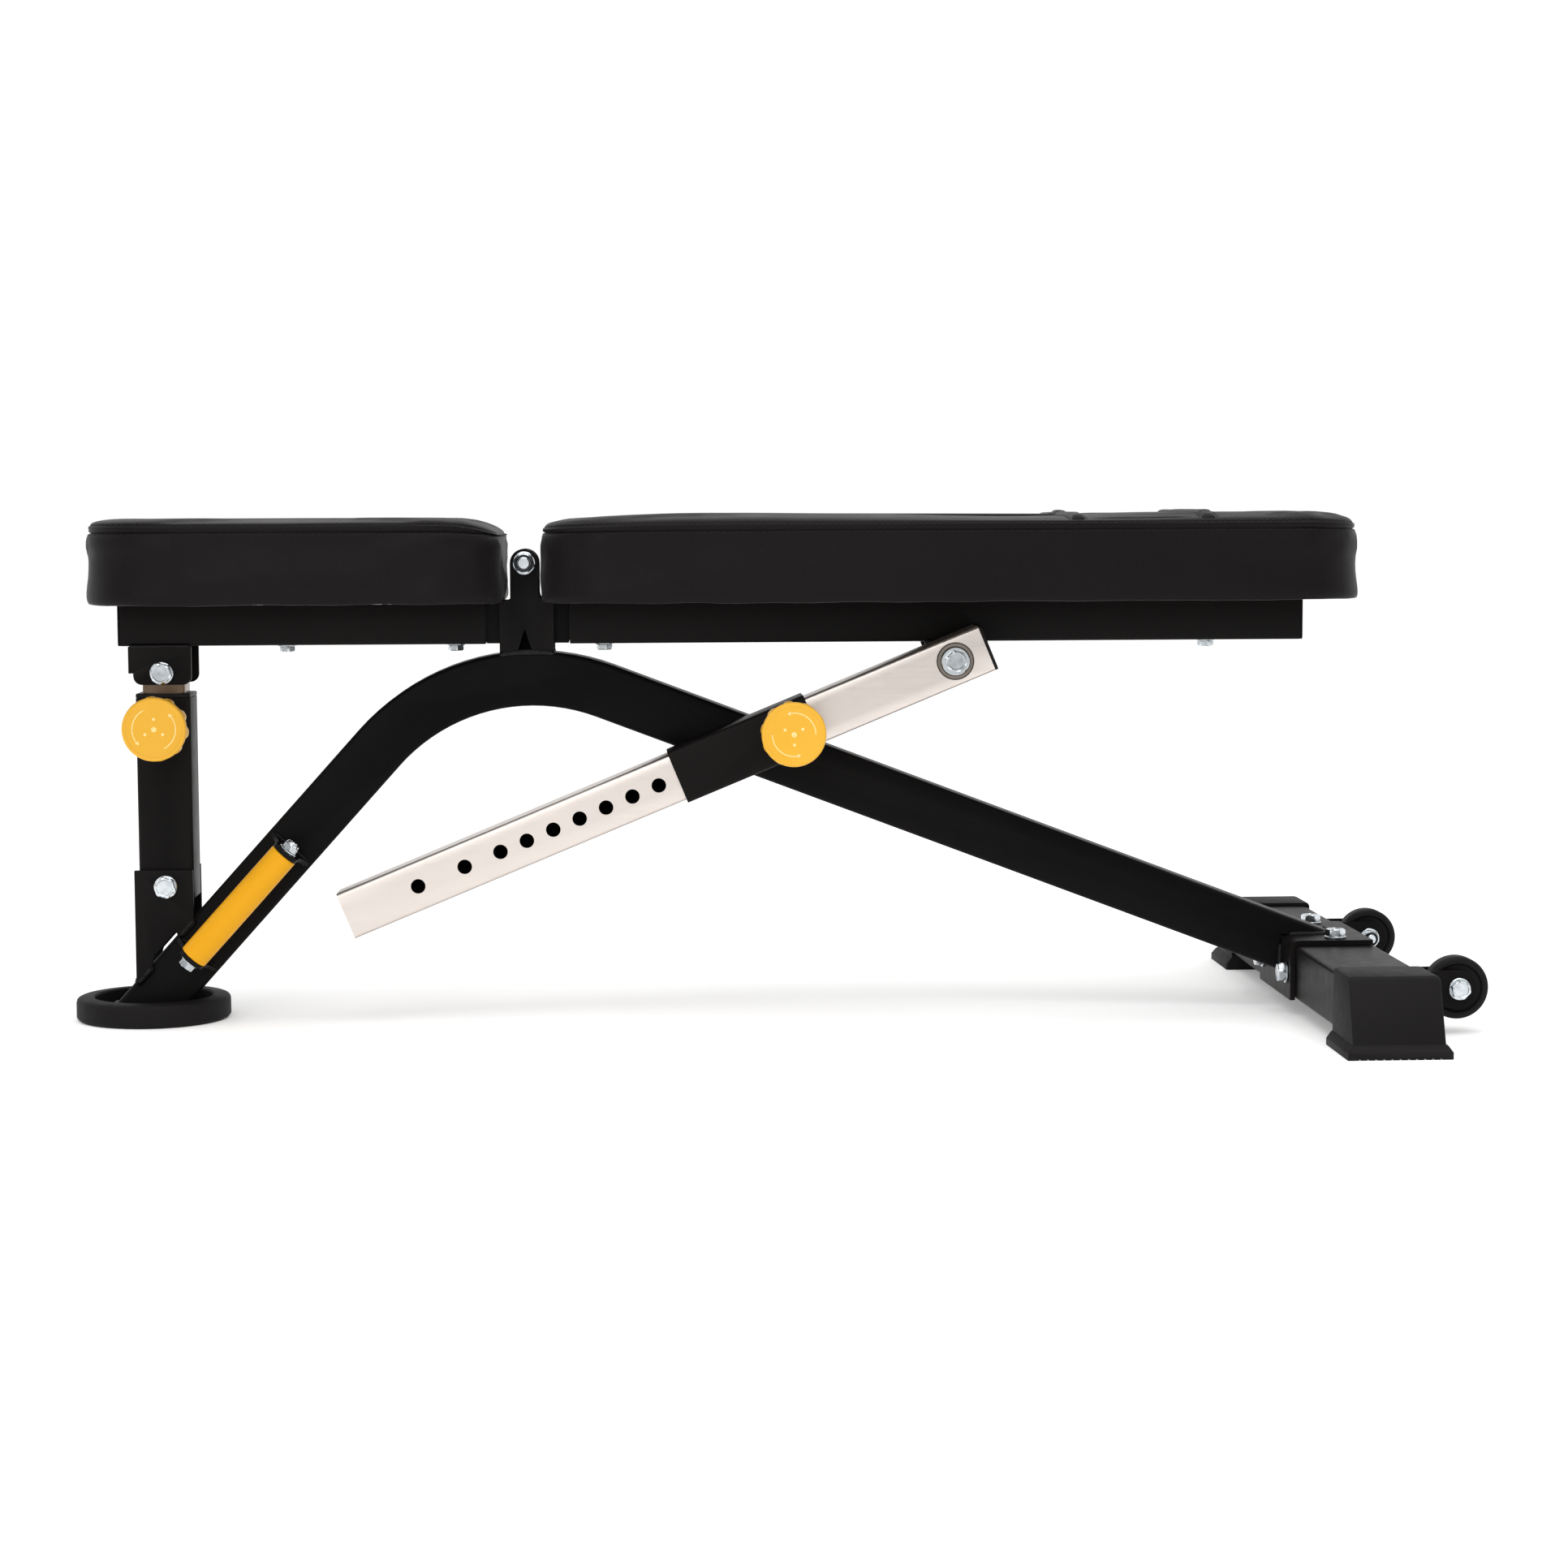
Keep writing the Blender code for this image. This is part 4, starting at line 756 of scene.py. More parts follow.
def stitches(name, body, tree, path, length=0.0042, gap=0.0016, radius=0.00045):
    """A row of short threads, each dipping into the cover at its ends; path is rays that end on the cover."""
    points = []
    for start, direction in path:
        hit = tree.ray_cast(start, direction, 0.08)
        if hit[0]:
            points.append((hit[0], hit[1] if hit[1].dot(direction) < 0 else -hit[1]))
    lengths = [0.0]
    for a, b in zip(points, points[1:]):
        lengths.append(lengths[-1] + (b[0] - a[0]).length)

    def at(distance):
        index = max(1, min(bisect_left(lengths, distance), len(lengths) - 1))
        share = (distance - lengths[index - 1]) / max(lengths[index] - lengths[index - 1], 1e-9)
        (low, low_normal), (high, high_normal) = points[index - 1], points[index]
        normal = low_normal.lerp(high_normal, share).normalized()
        return low.lerp(high, share), normal, (high - low).normalized()

    mesh = bmesh.new()
    for n in range(int(lengths[-1] / (length + gap))):
        rings = []
        for k in range(7):
            share = k / 6
            point, normal, along = at(n * (length + gap) + length * share)
            height = radius * (1.15 * sin(pi * share) - 0.45)
            matrix = frame_at(point + normal * height, along, normal)
            rings.append(ring_on(matrix, radius * (0.55 + 0.45 * sin(pi * share)), 6))
        add_rings(mesh, rings)
    return finish_mesh(name, mesh, THREAD, body, sharp=180)


def seam_rays(pad, z):
    """Rays that run level from outside a pad's side, all round it, along the seam at height z."""
    fine = (240, 90, 26)
    outside = pad_outline(pad.x0, pad.x1, -0.012, fine)
    inside = pad_outline(pad.x0, pad.x1, 0.020, fine)
    rays = []
    for a, b in zip(outside, inside):
        level = z - top_drop(pad, min(max(a[0], pad.x0), pad.x1), z)
        rays.append((Vector((*a, level)), Vector((b[0] - a[0], b[1] - a[1], 0)).normalized()))
    return rays + rays[:1]


def fold_strip(pad):
    """The cover's edge, folded under the board."""
    section = ((0.0052, 0.00015), (0.0060, -0.00025), (0.0200, -0.00030), (0.0285, -0.00030),
               (0.0287, -0.00005), (0.0200, -0.00002), (0.0062, 0.00010))
    rings = []
    for inset, rise in section:
        ring = []
        for x, y in pad_outline(pad.x0, pad.x1, inset):
            ripple = noise_at(x * 60, y * 60, inset * 50) * 0.0022 if inset > 0.02 else 0.0
            ring.append(Vector((x + ripple, y + ripple, PAD_BOTTOM + rise)))
        rings.append(ring)
    return skin(pad.name + "_cover_fold", rings, VINYL, pad.name, closed=True)


def staples(pad):
    """The staples through the folded edge; there are none where the pad's frame runs."""
    mesh = bmesh.new()
    line = pad_outline(pad.x0, pad.x1, 0.018, counts=(16, 7, 3))
    for index, (x, y) in enumerate(line):
        if abs(y) < 0.032:
            continue
        next_x, next_y = line[(index + 1) % len(line)]
        angle = atan2(next_y - y, next_x - x) + 0.25 * sin(index * 2.4)
        step = Vector((cos(angle), sin(angle), 0)) * 0.0055
        middle = Vector((x, y, PAD_BOTTOM - 0.00045))
        rings = []
        for share, lift in ((-1.0, 0.0006), (-0.93, 0.0), (0.93, 0.0), (1.0, 0.0006)):
            rings.append(ring_on(frame_at(middle + step * share + UP * lift, step, UP), 0.00045, 6, flat=0.67))
        add_rings(mesh, rings)
    finish_mesh(pad.name + "_staples", mesh, ZINC, pad.name)


def board(pad):
    """The plywood under a pad, short of the hinge end, where the cover gives way as the back rest folds."""
    ends = (pad.x0, pad.x1 - BOARD_GIVE) if pad.side > 0 else (pad.x0 + BOARD_GIVE, pad.x1)
    rings = []
    for inset, z in ((0.0076, PAD_BOTTOM), (0.0070, PAD_BOTTOM + 0.0006), (0.0070, 0.3982), (0.0076, 0.3988)):
        rings.append([Vector((x, y, z)) for x, y in pad_outline(*ends, inset)])
    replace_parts(skin(pad.name + "_plywood", rings, PLYWOOD, pad.name), pad.name + "_board")


def raised_band(name, tree, x_centre, width, height, half):
    """A strip of cover across the back pad's top, thicker than its surroundings, that follows the crown."""
    rings = []
    steps, section = 90, 14
    for n in range(steps + 1):
        y = -half + 2 * half * n / steps
        close = sqrt(max(0.0, min(1.0, (half - abs(y)) / 0.006 + 0.02)))
        top, under = [], []
        for k in range(section + 1):
            t = -1.0 + 2.0 * k / section
            x = x_centre + t * width / 2
            hit = tree.ray_cast(Vector((x, y, 0.50)), -UP, 0.1)
            z = hit[0].z if hit[0] else 0.455
            bulge = height * (1 - abs(t) ** 4)
            top.append(Vector((x, y, z + bulge * close - 0.0002)))
            under.append(top[-1] - UP * (0.0012 + bulge))
        rings.append(top + under[::-1])
    return skin(name, rings, VINYL, "back", sharp=75)


def head_bands(tree):
    """The two sewn straps across the head end of the back pad, and the fuller panel between them."""
    width = 0.0130
    made = []
    for label, along, height in (("inner", 0.4970, 0.0038), ("outer", 0.6140, 0.0030)):
        x = HINGE_X + along
        made.append(raised_band("back_strap_" + label, tree, x, width, height, 0.1330))
        for side, edge in (("left", -1), ("right", 1)):
            line = [(Vector((x + edge * (width / 2 + 0.0016), -0.130 + 0.260 * k / 200, 0.50)), -UP)
                    for k in range(201)]
            made.append(stitches("back_strap_stitches_%s_%s" % (label, side), "back", tree, line))
    made.append(raised_band("back_head_panel", tree, HINGE_X + 0.5555, 0.098, 0.0012, 0.1300))
    return made


def upholster():
    for pad in PADS:
        name = pad.name
        made, rings = cushion(pad)
        tree = skin_tree(rings)
        upper, lower = seam_rays(pad, UPPER_SEAM + 0.0004), seam_rays(pad, LOWER_SEAM - 0.0016)
        sewn = [stitches(name + "_upper_stitches", name, tree, upper),
                stitches(name + "_lower_stitches", name, tree, lower, radius=0.00035),
                fold_strip(pad)]
        staples(pad)
        board(pad)
        if name == "back":
            sewn += head_bands(tree)
        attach(made, name)
        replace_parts(made, name + "_pad")
        for piece in [made] + sewn:
            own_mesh(piece)


upholster()


# ---- knobs and grip -----------------------------------------------------------------------

KNOB_RADIUS = 0.0289
KNOB_BACK, KNOB_FRONT = 0.0385, 0.0595      # distances from the pin's joint, outwards
KNOB_FACE = KNOB_FRONT - 0.0006


def knob_moulding(name, centre):
    """A round pull knob: a ten-lobed grip behind a flat face, turned from its hub out and back to its bore."""
    r, back, front = KNOB_RADIUS, KNOB_BACK, KNOB_FRONT
    bore = 0.0053
    lobed = [(r - 0.0046, back, 0.55), (r - 0.0026, back + 0.0003, 0.85), (r - 0.0008, back + 0.0011, 1.0),
             (r + 0.0001, back + 0.0024, 1.0), (r + 0.0005, back + 0.0040, 1.0),
             (r + 0.0006, front - 0.0092, 1.0), (r + 0.0004, front - 0.0078, 0.95),
             (r - 0.0003, front - 0.0068, 0.45)]
    hub = [(0, 0.0530), (bore, 0.0530), (bore, 0.0232), (0.0100, 0.0232), (0.0108, 0.0235),
           (0.0113, 0.0242), (0.0116, 0.0300), (0.0120, 0.0370), (0.0128, 0.0381), (0.0142, back)]
    face = [(r - 0.0002, front - 0.0064), (r, front - 0.0056), (r, front - 0.0020),
            (r - 0.0003, front - 0.0011), (r - 0.0009, front - 0.0004), (r - 0.0018, front),
            (r - 0.0031, front - 0.0001), (r - 0.0035, front - 0.0005), (r - 0.0039, KNOB_FACE),
            (0, KNOB_FACE)]
    profile = [(*p, 0.0) for p in hub] + lobed + [(*p, 0.0) for p in face]

    def shape(index, angle):
        dip = (0.5 - 0.5 * cos(10 * angle)) ** 1.6
        return 1.0 - 0.110 * profile[index][2] * dip

    mesh = bmesh.new()
    turned(mesh, [p[:2] for p in profile], centre, -SIDEWAYS, 200, shape)
    made = finish_mesh(name + "_moulding", mesh, KNOB, name, sharp=50)
    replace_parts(made, name)


def inlay(mesh, place, points):
    """Adds a flat patch that stands 0.1 mm out of a knob's face."""
    top = [mesh.verts.new(place @ Vector((u, -0.00010, v))) for u, v in points]
    low = [mesh.verts.new(place @ Vector((u, 0.00010, v))) for u, v in points]
    mesh.faces.new(top)
    mesh.faces.new(low[::-1])
    for i in range(len(top)):
        j = (i + 1) % len(top)
        mesh.faces.new((top[i], low[i], low[j], top[j]))


def knob_arrows(name, centre, turn):
    """Two curved arrows round four dots, inlaid in a knob's face."""
    mesh = bmesh.new()
    place = Matrix.Translation(centre - SIDEWAYS * KNOB_FACE) @ Matrix.Rotation(-turn, 4, "Y")
    inner, outer, sweep = 0.0189, 0.0199, 100
    for start in (118, 298):
        end = start + sweep
        inlay(mesh, place, arc(0, 0, outer, start, end, 30) + arc(0, 0, inner, end, start, 30))
        base, tip = radians(end - 1), radians(end + 9)
        inlay(mesh, place, [(radius * cos(a), radius * sin(a))
                            for radius, a in ((0.0214, base), (0.0192, tip), (0.0174, base))])
    for k in range(3):
        angle = 2 * pi * k / 3 + pi / 2
        inlay(mesh, place, arc(0.0092 * cos(angle), 0.0092 * sin(angle), 0.0014, 0, 342, 19))
    inlay(mesh, place, arc(0, 0, 0.0024, 0, 349, 31))
    finish_mesh(name + "_arrows", mesh, INK, name)


for knob, knob_centre, knob_turn in (("post_knob", POST_PIN, 0.0), ("strut_knob", STRUT_PIN, radians(62))):
    knob_moulding(knob, knob_centre)
    knob_arrows(knob, knob_centre, knob_turn)

HANDLE_BASE = Vector((HINGE_X - 0.2156, -0.058, 0.1624))
HANDLE_ENDS = (-0.1320, -0.0063)


def grip():
    """The yellow sleeve of the carry handle, with softly rounded ends and a faint belly."""
    (low, high), r = HANDLE_ENDS, 0.0130
    profile = [(0.0095, low), (r - 0.0012, low), (r - 0.0004, low + 0.0004), (r, low + 0.0012)]
    for k in range(13):
        share = k / 12
        profile.append((r + 0.00015 * sin(pi * share), low + 0.003 + (high - low - 0.006) * share))
    profile += [(r, high - 0.0012), (r - 0.0004, high - 0.0004), (r - 0.0012, high), (0.0095, high)]
    mesh = bmesh.new()
    turned(mesh, profile, HANDLE_BASE, FRONT_DIRECTION, 72)
    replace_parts(finish_mesh("grip_sleeve", mesh, GRIP, "frame", sharp=50), "handle_grip")


grip()


# ---- wheels -------------------------------------------------------------------------------

def wheel(side, sign):
    """A solid wheel: rounded tread, shallow recessed sides and a raised hub."""
    centre = Vector((WHEEL.x, -sign * WHEEL.y, WHEEL.z))
    r, w = 0.0281, 0.0100
    half = [(0.0055, w), (0.0092, w), (0.0098, w - 0.0003), (0.0102, w - 0.0012), (0.0106, w - 0.0022),
            (0.0116, w - 0.0025), (0.0198, w - 0.0025), (0.0208, w - 0.0022), (0.0214, w - 0.0010),
            (0.0220, w - 0.0003), (0.0230, w), (r - 0.0036, w), (r - 0.0018, w - 0.0006),
            (r - 0.0006, w - 0.0018), (r, w - 0.0038), (r, w - 0.0070)]
    profile = half + [(radius, -along) for radius, along in reversed(half)]
    mesh = bmesh.new()
    turned(mesh, profile, centre, SIDEWAYS, 96)
    made = finish_mesh("wheel_tyre_" + side, mesh, WHEEL_RUBBER, "wheel_" + side, sharp=50)
    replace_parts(made, "wheel_" + side)


for side, sign in (("near", -1), ("far", 1)):
    wheel(side, sign)


# ---- bolts --------------------------------------------------------------------------------

# shank radius, width across the flats, washer radius
M12, M10, M8 = (0.0060, 0.0180, 0.0105), (0.0050, 0.0160, 0.0098), (0.0040, 0.0140, 0.0088)
JOINT_TOP = 0.3225              # height of the bolt through the clevis, at the head of the seat post
SLEEVE_REACH = 0.2043           # from the strut bolt to the sleeve's pivot, along the strut
CROSS_FRONT, CROSS_BACK, CROSS_TOP = HINGE_X + 0.7090, HINGE_X + 0.7840, 0.0650


def hexagonal(flats, profile, hexed):
    """A turning shape that cuts the profile's points in the hexed range down to a hexagon."""
    def shape(index, angle):
        if index not in hexed:
            return 1.0
        nearest = (angle + pi / 6) % (pi / 3) - pi / 6
        return min(1.0, flats / 2 / cos(nearest) / profile[index][0])
    return shape


def washer(mesh, seat, direction, radius, inner, thickness):
    profile = [(inner, 0.0), (radius - 0.0005, 0.0), (radius, 0.0004), (radius, thickness - 0.0004),
               (radius - 0.0005, thickness), (inner, thickness)]
    turned(mesh, profile, seat, direction, 48)


def head(mesh, seat, direction, size, height, washer_radius=None, thickness=0.0015):
    """A chamfered bolt head with a shallow dish in its top, on its washer."""
    shank, flats, usual = size
    washer(mesh, seat, direction, washer_radius or usual, shank + 0.0002, thickness)
    corner = flats * 0.575
    top = thickness + height
    profile = [(0, thickness), (flats * 0.49, thickness), (corner * 0.965, thickness + 0.0003),
               (corner, thickness + 0.0009), (corner, top - 0.0016), (corner * 0.955, top - 0.0006),
               (flats * 0.475, top), (flats * 0.415, top), (flats * 0.385, top - 0.0004), (0, top - 0.0004)]
    turned(mesh, profile, seat, direction, 60, hexagonal(flats, profile, range(2, 6)))


def nut(mesh, inserts, seat, direction, size, height, thread_end, thickness=0.0015):
    """A locking nut: hexagon, round collar, black insert in the collar and the bolt's threaded end."""
    shank, flats, usual = size
    washer(mesh, seat, direction, usual, shank + 0.0002, thickness)
    corner = flats * 0.575
    top = thickness + height
    shoulder = thickness + height * 0.70
    profile = [(shank - 0.0003, thickness), (flats * 0.49, thickness), (corner * 0.965, thickness + 0.0003),
               (corner, thickness + 0.0009), (corner, shoulder - 0.0012), (corner * 0.955, shoulder - 0.0003),
               (flats * 0.475, shoulder), (flats * 0.470, shoulder + 0.0004), (flats * 0.468, top - 0.0012),
               (flats * 0.452, top - 0.0003), (flats * 0.438, top), (flats * 0.424, top - 0.0003),
               (flats * 0.420, top - 0.0018), (shank - 0.0003, top - 0.0018)]
    turned(mesh, profile, seat, direction, 60, hexagonal(flats, profile, range(2, 6)))
    ring = [(shank + 0.0001, top - 0.0016), (flats * 0.417, top - 0.0016), (flats * 0.417, top - 0.0009),
            (shank + 0.0001, top - 0.0009)]
    turned(inserts, ring, seat, direction, 48)
    thread = [(0, thickness + 0.001)]
    pitch, depth = 0.00150, 0.00055
    count = int((thread_end - thickness - 0.003) / pitch)
    for k in range(count):
        level = thickness + 0.0015 + k * pitch
        thread += [(shank - depth, level), (shank - 0.0001, level + pitch * 0.40),
                   (shank - 0.0001, level + pitch * 0.55)]
    thread += [(shank - depth, thread_end - 0.0007), (shank - depth - 0.0006, thread_end), (0, thread_end)]
    turned(mesh, thread, seat, direction, 40)


def rod(mesh, centre, axis, radius, low, high, steps):
    turned(mesh, [(0, low), (radius, low), (radius, high), (0, high)], centre, axis, steps)


def fastener(name, mesh, body):
    """Puts a finished bolt in the place of the plain CAD one of that name."""
    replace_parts(finish_mesh(name + "_fastener", mesh, ZINC, body, sharp=28), name)


def joint_bolts(inserts):
    """The post's, hinge's, clevis's and strut's bolts, and the stud that carries the sleeve."""
    pivot = STRUT_BOLT - STRUT_DIRECTION * SLEEVE_REACH
    clevis, strut, stud = (Vector((x, 0, z)) for x, z in (
        (POST_X, JOINT_TOP), (STRUT_BOLT.x, STRUT_BOLT.z), (pivot.x, pivot.z)))
    through = (
        # name, body, centre, the y of the head's seat and of the nut's seat, head and nut heights, thread
        ("post_bolt", "frame", POST_FOOT, -0.0303, 0.0303, 0.0067, 0.0092, 0.0118),
        ("hinge_bolt", "frame", HINGE, 0.0253, -0.0253, 0.0070, 0.0088, 0.0128),
        ("clevis_bolt", "seat", clevis, -0.0278, 0.0278, 0.0069, 0.0092, 0.0118),
        ("strut_bolt", "back", strut, STRUT_BOLT.y - 0.0234, 0.0253, 0.0067, 0.0092, 0.0118),
        ("sleeve_pivot", "frame", stud, None, 0.0253, 0.0, 0.0082, 0.0106))
    for name, body, centre, head_at, nut_at, head_height, nut_height, thread_end in through:
        mesh = bmesh.new()
        outwards = SIDEWAYS if nut_at > 0 else -SIDEWAYS
        nut(mesh, inserts[body], centre + SIDEWAYS * nut_at, outwards, M12, nut_height, thread_end)
        if head_at is None:
            flange = [(0, -0.0267), (0.0146, -0.0267), (0.0150, -0.0263), (0.0150, -0.0257),
                      (0.0146, -0.0253), (0.0060, -0.0253), (0.0060, 0.0262), (0, 0.0262)]
            turned(mesh, flange, centre, SIDEWAYS, 60)
        else:
            wide = 0.0128 if name == "strut_bolt" else None
            head(mesh, centre + SIDEWAYS * head_at, -outwards, M12, head_height, wide)
            low, high = sorted((head_at, nut_at))
            rod(mesh, centre, SIDEWAYS, 0.0060, low - 0.002, high + 0.002, 40)
        fastener(name, mesh, body)


def handle_bolt(inserts):
    low, high = HANDLE_ENDS[0] - 0.0043, HANDLE_ENDS[1] + 0.0043
    mesh = bmesh.new()
    head(mesh, HANDLE_BASE + FRONT_DIRECTION * low, -FRONT_DIRECTION, M8, 0.0057, thickness=0.0018)
    nut(mesh, inserts["frame"], HANDLE_BASE + FRONT_DIRECTION * high, FRONT_DIRECTION, M8, 0.0072, 0.0104,
        0.0018)
    rod(mesh, HANDLE_BASE, FRONT_DIRECTION, 0.0040, low - 0.001, high + 0.001, 32)
    fastener("handle_bolt", mesh, "frame")


def wheel_bolt(inserts, side, sign):
    centre = Vector((WHEEL.x, -sign * WHEEL.y, WHEEL.z))
    outwards = SIDEWAYS * sign
    mesh = bmesh.new()
    head(mesh, centre + outwards * 0.0148, outwards, M10, 0.0060, thickness=0.0012)
    nut(mesh, inserts["frame"], centre - outwards * 0.0148, -outwards, M10, 0.0068, 0.0100, 0.0014)
    rod(mesh, centre, SIDEWAYS, 0.0050, -0.0165, 0.0165, 36)
    fastener("wheel_bolt_" + side, mesh, "frame")


def rear_bolts(side, sign):
    """One side's two bolts through the angle plate into the cross tube."""
    top = Vector((HINGE_X + 0.7495, sign * 0.0535, CROSS_TOP + 0.0053))
    front = Vector((CROSS_FRONT - 0.0053, sign * 0.0535, 0.0385))
    shank = [(0, -0.0200), (0.0046, -0.0200), (0.0050, -0.0196), (0.0050, 0.0020), (0, 0.0020)]
    for name, seat, direction in (("rear_bolt_top_", top, UP), ("rear_bolt_front_", front, Vector((-1, 0, 0)))):
        mesh = bmesh.new()
        head(mesh, seat, direction, M10, 0.0067, 0.0100, 0.0018)
        turned(mesh, shank, seat, direction, 36)
        fastener(name + side, mesh, "frame")


def bolts():
    """Every bolt with its head, washers and nut, in place of the plain CAD ones, and the board bolts."""
    inserts = {body: bmesh.new() for body in ("frame", "seat", "back")}
    joint_bolts(inserts)
    handle_bolt(inserts)
    for side, sign in (("near", -1), ("far", 1)):
        wheel_bolt(inserts, side, sign)
        rear_bolts(side, sign)
    for body, mesh in inserts.items():
        finish_mesh(body + "_nut_inserts", mesh, PLASTIC, body)
    for body, places in (("seat", (-0.2200, -0.0645)), ("back", (0.0730, 0.6355))):
        mesh = bmesh.new()
        for x in places:
            head(mesh, Vector((HINGE_X + x, 0, 0.3469)), -UP, (0.0040, 0.0130, 0.0088), 0.0050)
        finish_mesh(body + "_board_bolts", mesh, ZINC, body, sharp=28)


bolts()


# ---- welds --------------------------------------------------------------------------------

BEND_RADIUS = 0.190
CROSSING = Vector((HINGE_X - 0.0479, 0, 0.3486))
BEND_REACH = BEND_RADIUS * tan((FRONT_SLOPE + REAR_SLOPE) / 2)
BEND_CENTRE = CROSSING - FRONT_DIRECTION * BEND_REACH - FRONT_ACROSS * BEND_RADIUS
HALF_TUBE = 0.025


def leg_top(x):
    """Height of the front leg's upper edge at x."""
    edge = CROSSING + FRONT_ACROSS * HALF_TUBE
    return edge.z + (x - edge.x) * tan(FRONT_SLOPE)


def hinge_and_bracket_welds(mesh, sign):
    """One side's beads: along the bend under the hinge plate, and along the leg at the post's cheek plate."""
    reach = BEND_RADIUS + HALF_TUBE
    line = []
    for k in range(9):
        x = HINGE_X - 0.0236 + 0.0509 * k / 8
        rise = sqrt(reach ** 2 - (x - BEND_CENTRE.x) ** 2)
        line.append(Vector((x, sign * 0.0242, BEND_CENTRE.z + rise - 0.0004)))
    weld_bead(mesh, line, Vector((0, sign, 0.3)), 0.0027)
    x0, x1 = POST_X - 0.0286, POST_X + 0.0249
    for ends in ((x0 - 0.0006, x0 + 0.0150), (x0 + 0.0395, x1 + 0.0004)):
        start, end = (Vector((x, sign * 0.0268, leg_top(x) - 0.003)) for x in ends)
        straight_bead(mesh, start, end, Vector((-0.3, sign, 0.5)), 0.0037)


def handle_welds(mesh):
    base = Vector((HANDLE_BASE.x, -HALF_TUBE - 0.0004, HANDLE_BASE.z))
    across = FRONT_ACROSS * 0.0200
    for along, radius in ((-0.1365, 0.0018), (-0.1319, 0.0016), (-0.0064, 0.0016), (-0.0018, 0.0018)):
        middle = base + FRONT_DIRECTION * along
        straight_bead(mesh, middle - across, middle + across, -SIDEWAYS, radius)


def foot_welds(mesh):
    """Round the foot of the front leg, on its steel plate."""
    z = 0.0114
    centre_x = CROSSING.x - (CROSSING.z - z) / tan(FRONT_SLOPE)
    half_x, half_y = HALF_TUBE / sin(FRONT_SLOPE), 0.0225
    for start, end in (((-half_x, -half_y - 0.0028), (half_x, -half_y - 0.0028)),
                       ((half_x + 0.0004, -half_y), (half_x + 0.0004, half_y)),
                       ((half_x, half_y + 0.0028), (-half_x, half_y + 0.0028)),
                       ((-half_x - 0.0004, half_y), (-half_x - 0.0004, -half_y))):
        a, b = (Vector((centre_x + x, y, z)) for x, y in (start, end))
        straight_bead(mesh, a, b, UP, 0.0029)


def rear_welds(mesh):
    """Where the rear leg meets the angle plate, and where the wheel brackets meet the cross tube."""
    plate_x, top_z = CROSS_FRONT - 0.0053, CROSS_TOP + 0.0053
    low = CROSSING.z - (plate_x - CROSSING.x) * tan(REAR_SLOPE) - HALF_TUBE / cos(REAR_SLOPE)
    end_x = CROSSING.x + (CROSSING.z + HALF_TUBE / cos(REAR_SLOPE) - top_z) / tan(REAR_SLOPE)
    for sign in (-1, 1):
        y = sign * 0.0252
        straight_bead(mesh, Vector((plate_x - 0.0002, y, low + 0.002)),
                      Vector((plate_x - 0.0002, y, top_z - 0.009)), Vector((-1, sign, 0)), 0.0026)
        straight_bead(mesh, Vector((plate_x + 0.008, y, top_z)), Vector((end_x - 0.004, y, top_z)),
                      Vector((0, sign, 1)), 0.0026)
        for bracket_y in (-WHEEL.y - 0.0146, -WHEEL.y + 0.0146):
            start, end = (Vector((CROSS_BACK + 0.0004, sign * bracket_y, z)) for z in (0.0265, 0.0555))
            straight_bead(mesh, start, end, Vector((1, 0, 0)), 0.0018)
    start, end = (Vector((end_x + 0.0006, y, top_z + 0.0004)) for y in (-0.022, 0.022))
    straight_bead(mesh, start, end, UP, 0.0026)


def moving_welds():
    """Under the pad frames, at the ears, and round the pin housings."""
    for body, ends, y, frame_end, inner, outwards in (
            ("back", (HINGE_X + 0.3705, HINGE_X + 0.4270), 0.0250, HINGE_X + 0.0413, 0.0094, -1),
            ("seat", (POST_X - 0.0290, POST_X + 0.0255), 0.0262, HINGE_X - 0.0360, 0.0147, 1)):
        mesh = bmesh.new()
        for sign in (-1, 1):
            start, end = (Vector((x, sign * y, 0.3468)) for x in ends)
            straight_bead(mesh, start, end, Vector((0, sign, -1)), 0.0019)
            for level in (inner + 0.0001, inner + 0.0049):
                x = frame_end + outwards * 0.0002
                line = [Vector((x, sign * level, z)) for z in (0.3510, 0.3670, 0.3835)]
                weld_bead(mesh, line, Vector((outwards, 0, 0)), 0.0012)
        finish_mesh(body + "_welds", mesh, WELD, body, sharp=180)
    for body, centre in (("post_outer", POST_PIN), ("sleeve", STRUT_PIN)):
        mesh = bmesh.new()
        points = [centre + Vector((x, -0.0002, z)) for x, z in arc(0, 0, 0.0116, 0, 360, 36)]
        weld_bead(mesh, points, -SIDEWAYS, 0.0014)
        finish_mesh(body + "_pin_weld", mesh, WELD, body, sharp=180)


def welds():
    mesh = bmesh.new()
    for sign in (-1, 1):
        hinge_and_bracket_welds(mesh, sign)
    handle_welds(mesh)
    foot_welds(mesh)
    rear_welds(mesh)
    finish_mesh("frame_welds", mesh, WELD, "frame", sharp=180)
    moving_welds()


welds()


# ---- stage, light and camera --------------------------------------------------------------

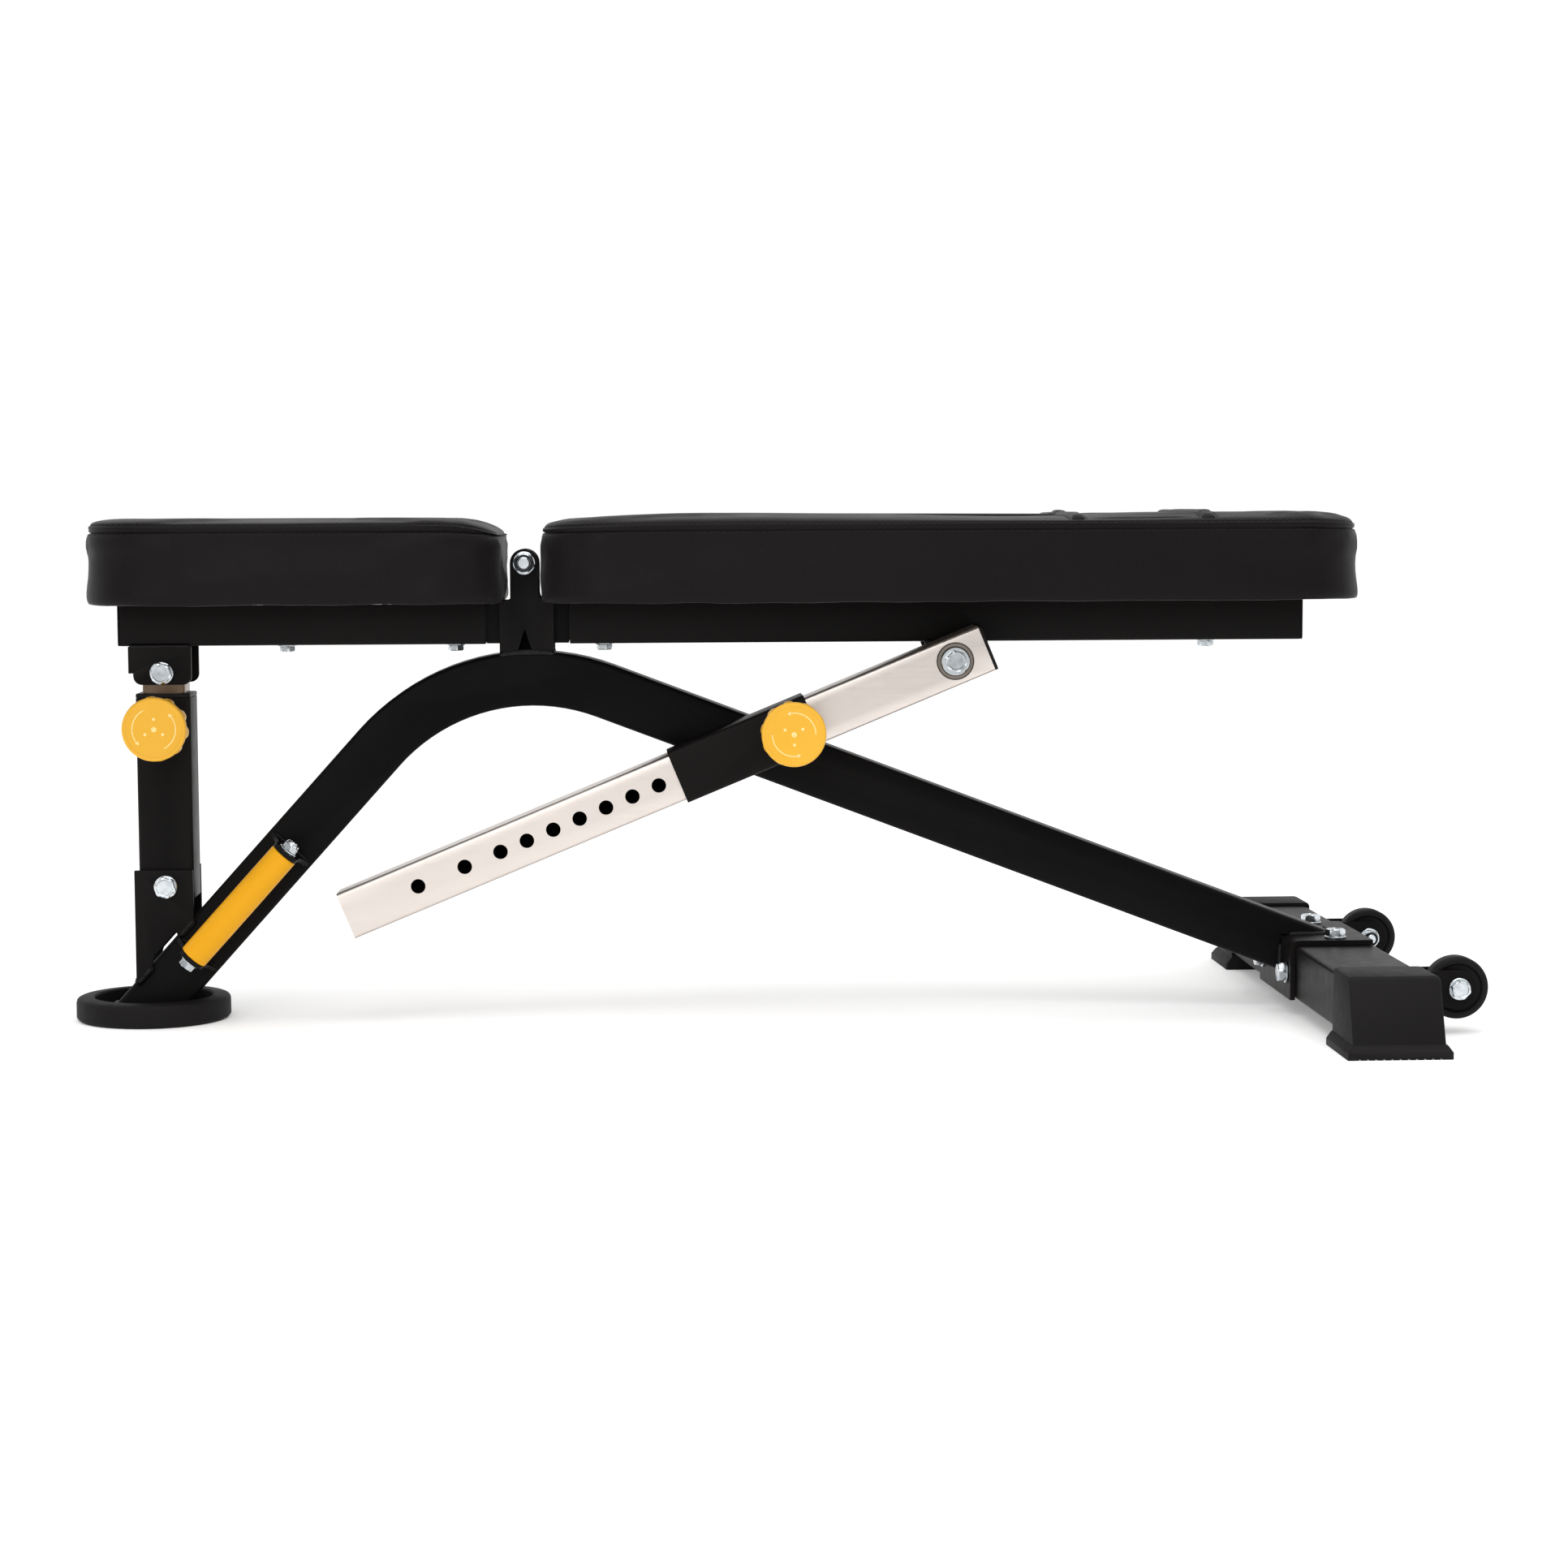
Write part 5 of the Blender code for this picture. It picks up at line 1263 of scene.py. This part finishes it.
def floor():
    """A pale floor that glows a little, and less so where it runs out in front of the bench."""
    mesh = bmesh.new()
    corners = ((-30, -30, 0), (30, -30, 0), (30, 60, 0), (-30, 60, 0))
    mesh.faces.new([mesh.verts.new(p) for p in corners])
    pale = Look("pale_floor", (0.93, 0.93, 0.93), 0.9, specular=0.1)
    pale.shader.inputs["Emission Color"].default_value = (1, 1, 1, 1)
    split = pale.node("ShaderNodeSeparateXYZ", {0: pale.place})
    near = pale.ramp(split.outputs["Y"], -3.0, -1.8, 1.0, 0.0)
    pale.colour(pale.mix(near, (0.93, 0.93, 0.93), (0.72, 0.72, 0.72)))
    pale.tree.links.new(pale.ramp(near, 0.0, 1.0, 0.22, 0.05), pale.shader.inputs["Emission Strength"])
    finish_mesh("studio_floor", mesh, pale.material, None)


def studio_world():
    """A white surround, dimmer in front of the bench than behind it."""
    world = bpy.data.worlds.new("studio")
    world.use_nodes = True
    nodes, links = world.node_tree.nodes, world.node_tree.links
    background = nodes["Background"]
    background.inputs["Color"].default_value = (1.0, 0.995, 0.99, 1)
    place = nodes.new("ShaderNodeTexCoord").outputs["Generated"]
    split, spread = nodes.new("ShaderNodeSeparateXYZ"), nodes.new("ShaderNodeMapRange")
    links.new(place, split.inputs[0])
    links.new(split.outputs["Y"], spread.inputs["Value"])
    for socket, value in (("From Min", -0.8), ("From Max", 0.1), ("To Min", 0.50), ("To Max", 1.02)):
        spread.inputs[socket].default_value = value
    links.new(spread.outputs["Result"], background.inputs["Strength"])
    scene.world = world


def softbox(name, place, size, power):
    """A square light that faces the middle of the bench."""
    data = bpy.data.lights.new(name, "AREA")
    data.shape = "SQUARE"
    data.size = size
    data.energy = power
    lamp = bpy.data.objects.new(name, data)
    lamp.location = place
    lamp.rotation_euler = (Vector((0, 0, 0.3)) - Vector(place)).to_track_quat("-Z", "Y").to_euler()
    scene.collection.objects.link(lamp)


def camera():
    """Eye level with the cushions, 2.95 m away, turned 2.8 degrees to the right and 4.8 degrees down."""
    yaw, pitch, roll = 0.049, 0.0832, 0.0044
    forward = Vector((sin(yaw) * cos(pitch), cos(yaw) * cos(pitch), -sin(pitch)))
    right = Vector((cos(yaw), -sin(yaw), 0))
    up = right.cross(forward)
    tilted_right = right * cos(roll) - up * sin(roll)
    tilted_up = right * sin(roll) + up * cos(roll)
    data = bpy.data.cameras.new("camera")
    data.sensor_width = 36
    data.lens = 72.77
    data.clip_end = 200
    made = bpy.data.objects.new("camera", data)
    turn = Matrix((tilted_right, tilted_up, -forward)).transposed()
    made.matrix_world = Matrix.Translation((HINGE_X + 0.0947, -2.9507, 0.4599)) @ turn.to_4x4()
    scene.collection.objects.link(made)
    scene.camera = made


floor()
studio_world()
softbox("top_softbox", (0.1, -0.6, 2.6), 2.4, 40)
softbox("front_softbox", (-0.8, -3.2, 1.5), 1.8, 28)
scene.view_settings.view_transform = "Standard"
camera()
bpy.context.view_layer.update()
